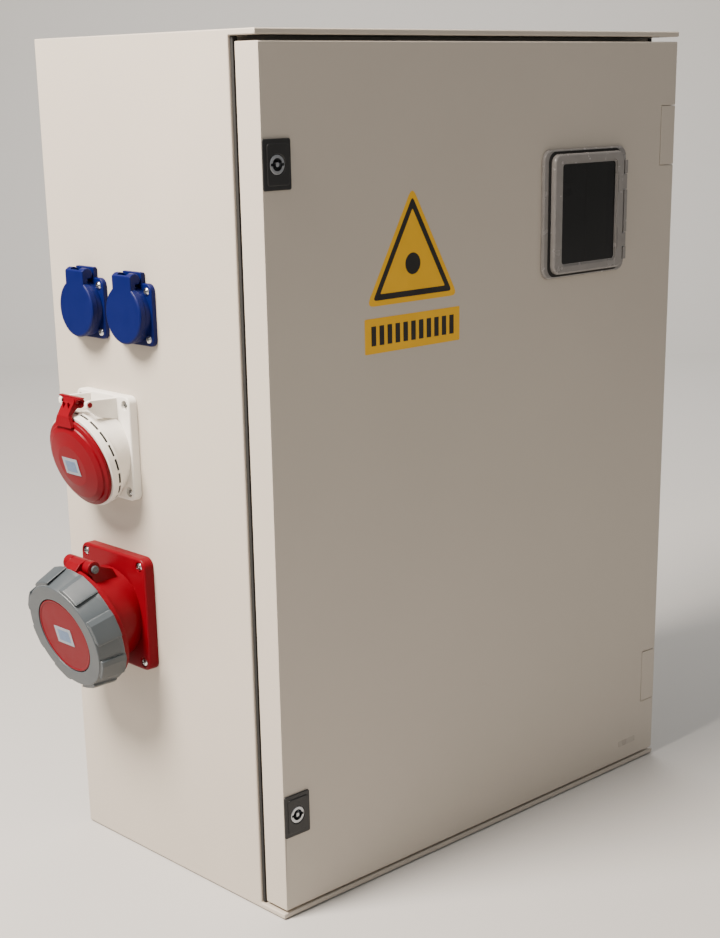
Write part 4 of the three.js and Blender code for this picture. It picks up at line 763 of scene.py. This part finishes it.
# ---------- the large red socket ----------
def red_socket():
    """Thick flange, tilted cup, hinge ears, lid and a grey locking ring with stepped grips."""
    world = on_panel(*CEE63_AXIS)
    axis = seat(*CEE63_SEAT)
    cup = solid([moved(lathe([(0, -6), (37.6, -6), (43, 24, 0.6), (42, 26), (42, 30, 0.8),
                              (38.8, 46, 0.8), (0, 46)], 128), axis)],
                [block(-100, 100, -100, 100, -40, 0.3, 0.1)])
    flange = prism(rectangle(92, 100, 8), 0.3, 10.3, 0.0, 2.2, 5)
    up, out = 50.8, 19.5
    ear_line = rounded([(34, 0), (36, 22, 1.5), (45.8, 23.7, 2.0), (50.8, 24.5), (55.8, 16.5, 2.0),
                        (50.8, 13.5), (43, 2, 3.0)])
    ears = []
    for s in (-1, 1):
        low, high = sorted((s * 9.5, s * 18.3))
        ears += [across(ear_line, low, high, 0.5), bar(6.5, low, high, up, out, 0.7, 48)]
    holes = [moved(disc(4.4, 8.2, 14, 0, 32), Matrix.Translation(p)) for p in square(77, 85)]
    shell = solid([solid([cup, flange, disc(38, -58, 2, 1.0)])] + [moved(e, axis) for e in ears],
                  holes + [moved(disc(36, 3, 60), axis), moved(disc(30.4, -14, 3.4), axis),
                           moved(bar(2.4, -30, 30, up, out), axis)])
    piece("red_socket_housing", shell, "red", "enclosure", "cee63_housing", world)
    screws("red_socket_screws", square(77, 85, 8.2), world, 4.1, 2.6, seed=5)

    cup_line = [(0, 47), (43.2, 47), (43.2, 27), (52, 27, 0.5), (52, 31.8, 0.5), (45.4, 31.8),
                (45.4, 51, 0.4), (34.2, 51), (34.2, 55.1, 0.9), (32.6, 55.1, 0.4), (32.0, 54.7, 0.4),
                (0, 54.9)]
    lug_line = rounded([(46, 27.4), (46, 31.8), (53, 31.8, 1.5), (56.5, 26, 2.5), (57.2, 19.5),
                        (50.8, 16.5), (45.8, 22.5, 2.0)])
    lid = solid([lathe(cup_line, 128), across(lug_line, -9, 9, 0.6), bar(6.5, -9, 9, up, out, 0.6, 48)],
                [bar(2.4, -30, 30, up, out)])
    piece("red_socket_lid", lid, "red", "cee63_flap", "cee63_lid", world @ axis)
    blank_label("red_socket", 24, 16, 54.9, 0.0, "cee63_flap", world @ axis)

    body = lathe([(45.9, 32.4), (54.0, 32.4, 0.6), (52.4, 35.4, 0.8), (47.4, 55.5, 1.2), (34.8, 55.5, 0.5),
                  (34.8, 51.5), (45.9, 51.5)], 128)
    lands = []
    for i in range(8):
        line = rounded([(47, -5), (53.2, -15.2, 1.0), (54.9, -6), (55.4, 5.5, 1.2), (53.6, 10.5, 1.0),
                        (47, 10.5)])
        land = prism(line, 32.4, 54.6, 0.5, 0.8)
        for v in land.verts:
            shrink = 1 - 0.078 * max(0.0, (v.co.z - 34) / 20)
            v.co.x *= shrink
            v.co.y *= shrink
        lands.append(moved(land, Matrix.Rotation(i * math.pi / 4 + 0.3, 4, "Z")))
    ring = solid([body] + lands)
    piece("red_socket_locking_ring", ring, "grey", "cee63_ring", "cee63_locking_ring", world @ axis)
    pin = solid([bar(2, -18.6, 19.6, up, out), bar(3.4, 18.7, 20.8, up, out, 0.4, 40)],
                [block(20.2, 22, up - 0.4, up + 0.4, out - 2.4, out + 2.4, 0.1)])
    piece("red_socket_pin", pin, "grey", "enclosure", "cee63_pin", world @ axis)


# ---------- the door's fittings ----------
def on_door(x, z):
    """The door's outer face at (x, z): local X goes right, Y up and Z out of the door."""
    return Matrix(((1, 0, 0, x), (0, 0, -1, DOOR_FRONT), (0, 1, 0, z), (0, 0, 0, 1)))


def lock(where):
    """Black housing with a wider face, and a turning double-bit key insert with its cam."""
    z = LOCKS[where].z
    world = on_door(DOOR_LEFT + 13.3, z)
    face = prism(rectangle(27, 36.6, 1.6, 0.2, 0), 0.3, 1.5, 0.0, 0.5)
    crown = prism(rectangle(21.5, 30, 2.4, 0.9, 0), 1.2, 2.3, 0.0, 0.8, 4)
    back = block(-9.9, 8.3, -16.3, 16.3, -15.5, 0.9, 0.4)
    dish = lathe([(0, 1.5), (7.2, 1.5), (8.9, 3.2), (0, 3.2)], 64)
    housing = solid([back, face, crown], [disc(7.5, -17, 5, 0, 64), dish])
    body = NODES["lock_housing_" + where]["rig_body"]
    piece("lock_{}_housing".format(where), housing, "black", body, "lock_housing_" + where, world)
    plug = solid([disc(7.2, -15.3, 2.0, 0.6, 64), disc(4, -18.4, -14.5, 0.2, 32)],
                 [lathe([(1.7, -7), (4.7, -7), (4.7, 5), (1.7, 5)], 48),
                  block(-6.3, -1.5, -1.0, 1.0, -4, 5, 0.1), block(1.5, 6.3, -1.0, 1.0, -4, 5, 0.1)])
    turning = where + "_lock"
    piece("lock_{}_insert".format(where), plug, "zinc", turning, "lock_insert_" + where, world)
    # A black disc at the bottom of the keyway paints the shade inside it.
    well = disc(4.65, -6.9, -6.4, 0, 48)
    piece("lock_{}_well".format(where), well, "black", turning, to_world=world)
    softened("lock_cam_" + where, "zinc", 0.35)


def window():
    """Frame on the door, flap with its smoked pane, hinge pin and a small catch."""
    world = on_door(WINDOW.x, WINDOW.z)
    frame_front, flap_rear, flap_front = 3.3, 3.7, 8.3
    pin_x, pin_z = 50.5, 6.0
    flange = prism(rectangle(111.6, 108, 9), 0.3, frame_front, 0.0, 1.5, 4)
    spigot = prism(rectangle(101, 97.4, 5), -6, frame_front - 1)
    posts = [block(pin_x - 2, pin_x + 2, low, high, frame_front - 1, pin_z + 2, 0.5)
             for low, high in ((-44, -33), (-20.2, 16.5), (30.5, 42))]
    opening = prism(rectangle(78, 90, 4), -8, frame_front + 1)
    bore = moved(disc(1.3, -43, 41, 0, 20), Matrix.Translation((pin_x, 0, pin_z)),
                 Matrix.Rotation(-math.pi / 2, 4, "X"))
    frame_piece = solid([flange, spigot] + posts, [opening, bore])
    piece("window_frame_finished", frame_piece, "frame", "door", "window_frame", world)
    # A dark ring on the frame round the flap paints the shadow that the raised flap casts into the groove.
    groove_line = rectangle(98.9, 105.2, 9, -1.05)
    groove = solid([prism(groove_line, frame_front + 0.04, frame_front + 0.3)],
                   [prism(rectangle(92, 98, 7), frame_front - 1, frame_front + 1)])
    piece("window_groove_shadow", groove, "seal", "door", to_world=world)
    plate = prism(rectangle(95, 101, 8), flap_rear, flap_front, 0.4, 2.0, 4)
    knuckles = []
    for low, high in ((-32.5, -20.7), (17, 30)):
        knuckles.append(moved(disc(2.2, low, high, 0.3, 32), Matrix.Translation((pin_x, 0, pin_z)),
                              Matrix.Rotation(-math.pi / 2, 4, "X")))
        knuckles.append(block(45.5, pin_x, low, high, pin_z, pin_z + 2.2, 0.3))
    hollows = [prism(rectangle(72, 84, 3), flap_rear - 1, flap_front + 1),
               prism(rectangle(78, 90, 4), flap_rear - 1, flap_rear + 2.9)]
    step = prism(rectangle(75.4, 87.4, 4.4), flap_front - 1.2, flap_front + 1)
    relief = [block(38.6, 39.4, low, high, flap_front - 1.6, flap_front + 1, 0.1)
              for low, high in ((-34, -16), (14, 32))]
    catch = solid([block(-46.6, -39.4, -6.5, 6.5, flap_front - 0.8, flap_front + 0.0, 0.5)])
    flap = solid([solid([plate], hollows + [step] + relief), catch] + knuckles,
                 [moved(disc(1.3, -43, 41, 0, 20), Matrix.Translation((pin_x, 0, pin_z)),
                        Matrix.Rotation(-math.pi / 2, 4, "X"))])
    piece("window_flap_finished", flap, "frame", "window_cover", "window_flap", world)
    pane = prism(rectangle(77.4, 89.4, 3.7), flap_rear + 0.2, flap_rear + 2.6, 0.15, 0.15)
    piece("window_pane_finished", pane, "pane", "window_cover", "window_pane", world)
    pin = moved(disc(1, -42.5, 40.5, 0.2, 24), Matrix.Translation((pin_x, 0, pin_z)),
                Matrix.Rotation(-math.pi / 2, 4, "X"))
    piece("window_pin_finished", pin, "zinc", "door", "window_pin", world)


def stickers():
    """Blank yellow triangle and strip on the door, and a small clear label at its foot."""
    world = on_door(0, 0)
    outer = rounded([(-145.6, 493.6, 4.5), (-42.2, 493.6, 4.5), (-93.9, 583.2, 4.5)])
    band = rounded([(-138.6, 497.9, 2.2), (-49.2, 497.9, 2.2), (-93.9, 575.6, 2.2)])
    inner = rounded([(-130.6, 502.6, 0.8), (-57.2, 502.6, 0.8), (-93.9, 566.4, 0.8)])
    piece("triangle_sticker", prism(outer, 0.02, 0.14), "yellow_vinyl", "door", to_world=world)
    ring = solid([prism(band, 0.1, 0.19)], [prism(inner, 0, 1)])
    piece("triangle_border", ring, "black_vinyl", "door", to_world=world)
    dot = moved(disc(8.5, 0.1, 0.19), Matrix.Translation((-93.9, 523.5, 0)))
    piece("triangle_dot", dot, "black_vinyl", "door", to_world=world)
    strip = prism(rectangle(108.3, 27.8, 1.2, -93.8, 470.4), 0.02, 0.14)
    piece("strip_sticker", strip, "yellow_vinyl", "door", to_world=world)
    bars = [prism(rectangle(5.2, 15.5, 0.3, -93.8 + (i - 5) * 8.9, 470.4, 2), 0.1, 0.19)
            for i in range(11)]
    piece("strip_bars", joined(bars), "black_vinyl", "door", to_world=world)
    foot = prism(rectangle(26, 6, 1.2, 206, 24.7), 0.02, 0.22, 0, 0.05)
    piece("foot_label", foot, "clear_vinyl", "door", to_world=world)


def gap_shade_strips():
    """Dark strips on the body's rim, in the foam's finish, which paint the shade in the gap behind the
    door's side edges.
    """
    for side, reach, depth in (("left", LEFT, 3.0), ("right", RIGHT, 1.2)):
        inner = reach * 0.9736
        low, high = sorted((inner, reach * 0.9916))
        strip = block(low, high, -125.05 - depth, -125.05, 5, 695, 0.5)
        piece("gap_shade_strip_" + side, strip, "seal", "enclosure")


# ---------- inside ----------
SHEET_NODES = {  # finish and edge radius in millimetres of each sheet or rolled piece
    "enclosure_shell": ("coat", 0.85), "door_panel": ("coat", 0.85), "mounting_plate": ("zinc", 0.5),
    "upper_rail": ("zinc", 0.3), "lower_rail": ("zinc", 0.3), "rail_bracket_left": ("zinc", 0.4),
    "rail_bracket_right": ("zinc", 0.4), "hinge_door_leaf_upper": ("coat", 0.35),
    "hinge_door_leaf_lower": ("coat", 0.35), "hinge_body_leaf_upper": ("zinc", 0.35),
    "hinge_body_leaf_lower": ("zinc", 0.35), "hinge_pin_upper": ("zinc", 0.25),
    "hinge_pin_lower": ("zinc", 0.25), "door_gasket": ("seal", 1.2), "earth_bar": ("brass", 0.4),
    "wiring_duct": ("grey", 0.3), "touch_guard": ("device", 0.35),
}
MOULDED_NODES = {
    "breaker_16_left_body": "device", "breaker_16_right_body": "device", "breaker_32_body": "device",
    "breaker_63_body": "device", "residual_switch_body": "device", "breaker_16_left_lever": "blue",
    "breaker_16_right_lever": "blue", "breaker_32_lever": "blue", "breaker_63_lever": "blue",
    "residual_switch_lever": "black", "test_button": "grey", "phase_terminals": "grey",
    "neutral_terminal": "blue", "earth_terminal": "green", "cee32_contact_carrier": "grey",
    "cee63_contact_carrier": "black",
}


def switchgear_screws():
    """Terminal screws of the row, the terminals and the earth bar, and nuts on the rear studs."""
    places = []
    for node, modules in ROW.items():
        low, high = corners(node + "_body")
        for i in range(modules):
            x = low.x + (i + 0.5) * (high.x - low.x) / modules
            for way in (-1, 1):
                places.append((x, (low.z + high.z) / 2 + way * 32.5, -(low.y + 24.6)))
    screws("switchgear_terminal_screws", places, TO_DOOR, 2.9, 1.0, recess=0.0008, seed=3)
    places = []
    for node, count in (("phase_terminals", 3), ("neutral_terminal", 1), ("earth_terminal", 1)):
        low, high = corners(node)
        for i in range(count):
            x = low.x + (i + 0.5) * (high.x - low.x) / count
            places += [(x, (low.z + high.z) / 2 + way * 8, -(low.y + 6.5)) for way in (-1, 1)]
    screws("terminal_screws", places, TO_DOOR, 2.5, 1.0, recess=0.0008, seed=4)
    low, high = corners("earth_bar")
    places = [(low.x + 16 + i * 16, (low.z + high.z) / 2, -low.y) for i in range(9)]
    screws("earth_bar_screws", places, TO_DOOR, 3.4, 1.8, seed=6)
    low, high = corners("mounting_plate")
    nuts = []
    for x in (low.x + 20, high.x - 20):
        for z in (low.z + 20, high.z - 20):
            hexagon = [(x + 7.5 * math.cos(math.radians(a)), z + 7.5 * math.sin(math.radians(a)))
                       for a in range(0, 360, 60)]
            ring = solid([prism(hexagon, -(low.y - 0.3), -(low.y - 6.3), 0, 0.6),
                          moved(disc(9, -(low.y - 0.3), -(low.y - 1.7), 0.2, 48),
                                Matrix.Translation((x, z, 0)))],
                         [moved(disc(4.3, -200, 200, 0, 24), Matrix.Translation((x, z, 0)))])
            nuts.append(ring)
    piece("plate_nuts", joined(nuts), "zinc", "enclosure", to_world=TO_DOOR)


def blank_plates():
    """Blank marking strips on the switchgear, in place of printed ratings."""
    plates = []
    for node in ROW:
        low, high = corners(node + "_body")
        width = min(14.0, high.x - low.x - 3)
        plates.append(block((low.x + high.x - width) / 2, (low.x + high.x + width) / 2, -20.3, -12.3,
                            -low.y - 0.2, -low.y + 0.4, 0.2))
        moved(plates[-1], Matrix.Translation((0, (low.z + high.z) / 2, 0)))
    piece("switchgear_marking_plates", joined(plates), "clear_vinyl", "enclosure", to_world=TO_DOOR)


def gland():
    """Hexagonal gland body and a fluted dome nut over the clamping insert."""
    world = Matrix(((0, 0, 1, RIGHT), (1, 0, 0, GLAND_AXIS[0]), (0, 1, 0, GLAND_AXIS[1]),
                    (0, 0, 0, 1)))

    def hexagon(radius):
        return rounded([(radius * math.cos(math.radians(a)), radius * math.sin(math.radians(a)), 2.5)
                        for a in range(0, 360, 60)])

    body = solid([prism(hexagon(31), 0.3, 9.7, 0.4, 0.8), disc(24.7, -14, 1, 0.6),
                  disc(22.4, 5, 26, 0.4)], [disc(16, -20, 40)])
    piece("gland_body_finished", body, "grey", "enclosure", "gland_body", world)
    dome = lathe([(22.8, 10), (26.5, 10, 0.5), (26.5, 24, 1.0), (24.6, 24.6, 0.5), (24.4, 28, 2.0),
                  (21, 33.8, 1.5), (17, 34, 0.8), (17, 27), (22.8, 27)], 96)
    flutes = ring_of_blocks(24, 26.4, (1.1, 2.6, 12.0), 17.0)
    collar = solid([prism(hexagon(29.8), 10, 23.6, 0.5, 1.2)], [disc(25, 0, 40)])
    nut = solid([dome, collar, flutes])
    piece("gland_dome_finished", nut, "grey", "enclosure", "gland_dome_nut", world)
    insert = lathe([(13.5, 24), (16.4, 24), (16.4, 33.2, 0.8), (13.5, 33.2, 0.8)], 64)
    piece("gland_seal", insert, "sheath", "enclosure", to_world=world)


def leads():
    """The four sheathed leads, rounded."""
    for node in ("lead_cee63", "lead_cee32", "lead_schuko_rear", "lead_schuko_front"):
        softened(node, "sheath", 0.0, rounds=2)


# ---------- stage ----------
def stage():
    """Pale floor, soft light from above on the left, and the camera."""
    floor = bpy.data.meshes.new("floor")
    floor.from_pydata([(x * FLOOR_REACH, y * FLOOR_REACH, -FLOOR_DROP)
                       for x, y in ((-1, -1), (1, -1), (1, 1), (-1, 1))], [], [(0, 1, 2, 3)])
    ground = bpy.data.objects.new("floor", floor)
    bpy.context.scene.collection.objects.link(ground)
    pale = bpy.data.materials.new("pale_floor")
    pale.use_nodes = True
    shader = pale.node_tree.nodes["Principled BSDF"]
    shader.inputs["Base Color"].default_value = hex_colour("#b4b2af")
    shader.inputs["Roughness"].default_value = 0.9
    floor.materials.append(pale)

    # A pale sweep stands well behind the box, square to the main view, with a light of its own.
    away, wide = Vector((0.686, 0.728, 0.0)), Vector((0.728, -0.686, 0.0))
    bend = [(SWEEP_FOOT + SWEEP_BEND * math.sin(a), SWEEP_BEND * (1 - math.cos(a)))
            for a in (i * math.pi / 24 for i in range(13))]
    rise = [away * d + Vector((0, 0, z - FLOOR_DROP))
            for d, z in bend + [(SWEEP_FOOT + SWEEP_BEND, SWEEP_HEIGHT)]]
    points = [tuple(p + wide * side) for p in rise for side in (-FLOOR_REACH, FLOOR_REACH)]
    sweep_mesh = bpy.data.meshes.new("sweep")
    quads = [(i, i + 1, i + 3, i + 2) for i in range(0, len(points) - 2, 2)]
    sweep_mesh.from_pydata(points, [], quads)
    for face in sweep_mesh.polygons:
        face.use_smooth = True
    sweep_mesh.materials.append(pale)
    sweep = bpy.data.objects.new("sweep", sweep_mesh)
    bpy.context.scene.collection.objects.link(sweep)

    world = bpy.data.worlds.new("studio")
    world.use_nodes = True
    background = world.node_tree.nodes["Background"]
    background.inputs["Color"].default_value = hex_colour("#fbfaf8")
    background.inputs["Strength"].default_value = 0.36
    bpy.context.scene.world = world
    target = Vector((0.0, 0.0, 0.35))
    far = away * (SWEEP_FOOT + SWEEP_BEND) + Vector((0, 0, 0.7))
    for name, place, aim, size, power, tone in (
            ("overhead", (-1.3, 0.1, 1.9), target, 0.8, 165.0, "#fff4e8"),
            ("side", (-2.8, 0.9, 1.6), target, 1.2, 14.0, "#fff2e2"),
            ("door_sheen", (-0.7, -2.6, 2.4), target, 1.8, 9.0, "#f6f4f0"),
            ("sweep_wash", (1.1, 1.15, 2.7), far, 1.6, 95.0, "#fdfbf8")):
        light = bpy.data.lights.new(name, "AREA")
        light.shape = "DISK"
        light.size = size
        light.energy = power
        light.color = hex_colour(tone)[:3]
        lamp = bpy.data.objects.new(name, light)
        lamp.location = place
        lamp.rotation_euler = (aim - Vector(place)).to_track_quat("-Z", "Y").to_euler()
        bpy.context.scene.collection.objects.link(lamp)

    # The camera stands left of the door and a little above it, level with the upper half.
    azimuth, elevation, roll = (math.radians(v) for v in CAMERA_TURN)
    flat = math.cos(elevation)
    look = Vector((-math.sin(azimuth) * flat, math.cos(azimuth) * flat, -math.sin(elevation)))
    right = look.cross(Vector((0, 0, 1))).normalized()
    above = right.cross(look)
    level = math.cos(roll) * right + math.sin(roll) * above
    upright = -math.sin(roll) * right + math.cos(roll) * above
    camera = bpy.data.cameras.new("camera")
    camera.sensor_width = CAMERA_SENSOR
    camera.lens = CAMERA_LENS
    camera.shift_y = CAMERA_SHIFT
    view = bpy.data.objects.new("camera", camera)
    view.matrix_world = Matrix.Translation(CAMERA_PLACE) @ Matrix(
        (level, upright, -look)).transposed().to_4x4()
    bpy.context.scene.collection.objects.link(view)
    bpy.context.scene.camera = view


# ---------- sidebar settings ----------
def tone(name, description, code):
    return FloatVectorProperty(name=name, description=description, subtype="COLOR", size=4, min=0.0,
                               max=1.0, default=hex_colour(code))


class PowerBoxTones(bpy.types.PropertyGroup):
    """Colours of the box's finishes."""
    coat: tone("Powder coat", "Colour of the enclosure and the door", "#bab1a5")
    black: tone("Lock housings", "Colour of the black mouldings", "#1a1a1b")
    blue: tone("Small sockets", "Colour of the two small sockets", "#030d47")
    red: tone("Industrial red", "Colour of the red socket and of the white one's lid", "#6a0110")
    white: tone("White socket", "Colour of the white socket's housing", "#e4e0d8")
    grey: tone("Grey mouldings", "Colour of the locking ring and the gland", "#3e454a")
    window: tone("Window", "Colour of the window's frame and flap", "#908c89")
    yellow: tone("Sticker", "Colour of the blank stickers on the door", "#e6ae00")


class PowerBoxSizes(bpy.types.PropertyGroup):
    """Sizes that change the finish of the edges, not the size of the box."""
    sheet_edge: FloatProperty(name="Sheet edge", description="Scale of the folded sheet's edge radius",
                              default=1.0, min=0.3, max=1.6, subtype="FACTOR")
    moulded_edge: FloatProperty(name="Moulded edge", description="Edge radius of the switchgear",
                                default=0.0005, min=0.0001, max=0.001, unit="LENGTH")
    edge_steps: IntProperty(name="Edge steps", description="Faces across a rounded edge", default=2,
                            min=1, max=4)


# ---------- operators ----------
class Maker:
    """What every operator here shares."""
    bl_options = {"REGISTER", "UNDO"}

    def execute(self, context):
        self.make(context.scene.power_box_sizes, context.scene.power_box_tones)
        return {"FINISHED"}


class POWERBOX_OT_finishes(Maker, bpy.types.Operator):
    """Make the box's materials"""
    bl_idname = "power_box.finishes"
    bl_label = "Finishes"

    def make(self, sizes, tones):
        make_finishes(tones)


class POWERBOX_OT_sheet_metal(Maker, bpy.types.Operator):
    """Round the edges of the enclosure, door and other sheet pieces"""
    bl_idname = "power_box.sheet_metal"
    bl_label = "Enclosure and door"

    def make(self, sizes, tones):
        for node, (finish, edge) in SHEET_NODES.items():
            softened(node, finish, edge * sizes.sheet_edge, sizes.edge_steps)


class POWERBOX_OT_small_sockets(Maker, bpy.types.Operator):
    """Make the two small sockets"""
    bl_idname = "power_box.small_sockets"
    bl_label = "Small sockets"

    def make(self, sizes, tones):
        for name, place in SCHUKO_AXES.items():
            small_socket(name, place)


class POWERBOX_OT_white_socket(Maker, bpy.types.Operator):
    """Make the white angled socket"""
    bl_idname = "power_box.white_socket"
    bl_label = "White socket"

    def make(self, sizes, tones):
        white_socket()


class POWERBOX_OT_red_socket(Maker, bpy.types.Operator):
    """Make the large red socket with its locking ring"""
    bl_idname = "power_box.red_socket"
    bl_label = "Red socket"

    def make(self, sizes, tones):
        red_socket()


class POWERBOX_OT_door_fittings(Maker, bpy.types.Operator):
    """Make the locks and the inspection window"""
    bl_idname = "power_box.door_fittings"
    bl_label = "Locks and window"

    def make(self, sizes, tones):
        for where in LOCKS:
            lock(where)
        window()
        gap_shade_strips()


class POWERBOX_OT_stickers(Maker, bpy.types.Operator):
    """Lay the blank stickers on the door"""
    bl_idname = "power_box.stickers"
    bl_label = "Stickers"

    def make(self, sizes, tones):
        stickers()


class POWERBOX_OT_switchgear(Maker, bpy.types.Operator):
    """Finish the switchgear, terminals, leads and socket cores"""
    bl_idname = "power_box.switchgear"
    bl_label = "Switchgear and wiring"

    def make(self, sizes, tones):
        for node, finish in MOULDED_NODES.items():
            softened(node, finish, sizes.moulded_edge / MM, sizes.edge_steps)
        switchgear_screws()
        blank_plates()
        leads()


class POWERBOX_OT_gland(Maker, bpy.types.Operator):
    """Make the cable gland on the right side"""
    bl_idname = "power_box.gland"
    bl_label = "Cable gland"

    def make(self, sizes, tones):
        gland()


class POWERBOX_OT_stage(Maker, bpy.types.Operator):
    """Make the floor, the light and the camera"""
    bl_idname = "power_box.stage"
    bl_label = "Stage"

    def make(self, sizes, tones):
        stage()


OPERATORS = (
    POWERBOX_OT_finishes, POWERBOX_OT_sheet_metal, POWERBOX_OT_small_sockets,
    POWERBOX_OT_white_socket, POWERBOX_OT_red_socket, POWERBOX_OT_door_fittings,
    POWERBOX_OT_stickers, POWERBOX_OT_switchgear, POWERBOX_OT_gland, POWERBOX_OT_stage,
)


class POWERBOX_PT_panel(bpy.types.Panel):
    """Lists the box's settings and pieces in the sidebar"""
    bl_idname = "POWERBOX_PT_panel"
    bl_label = "Power distribution box"
    bl_space_type = "VIEW_3D"
    bl_region_type = "UI"
    bl_category = "Power box"

    def draw(self, context):
        for group in (context.scene.power_box_sizes, context.scene.power_box_tones):
            column = self.layout.column()
            for label in group.__annotations__:
                column.prop(group, label)
        for operator in OPERATORS:
            self.layout.operator(operator.bl_idname)


CLASSES = (PowerBoxTones, PowerBoxSizes) + OPERATORS + (POWERBOX_PT_panel,)


def register():
    for cls in CLASSES:
        bpy.utils.register_class(cls)
    bpy.types.Scene.power_box_tones = PointerProperty(type=PowerBoxTones)
    bpy.types.Scene.power_box_sizes = PointerProperty(type=PowerBoxSizes)


def unregister():
    del bpy.types.Scene.power_box_sizes
    del bpy.types.Scene.power_box_tones
    for cls in reversed(CLASSES):
        bpy.utils.unregister_class(cls)


def main():
    register()
    for operator in OPERATORS:
        getattr(bpy.ops.power_box, operator.bl_idname.split(".")[1])()


if __name__ == "__main__":
    main()
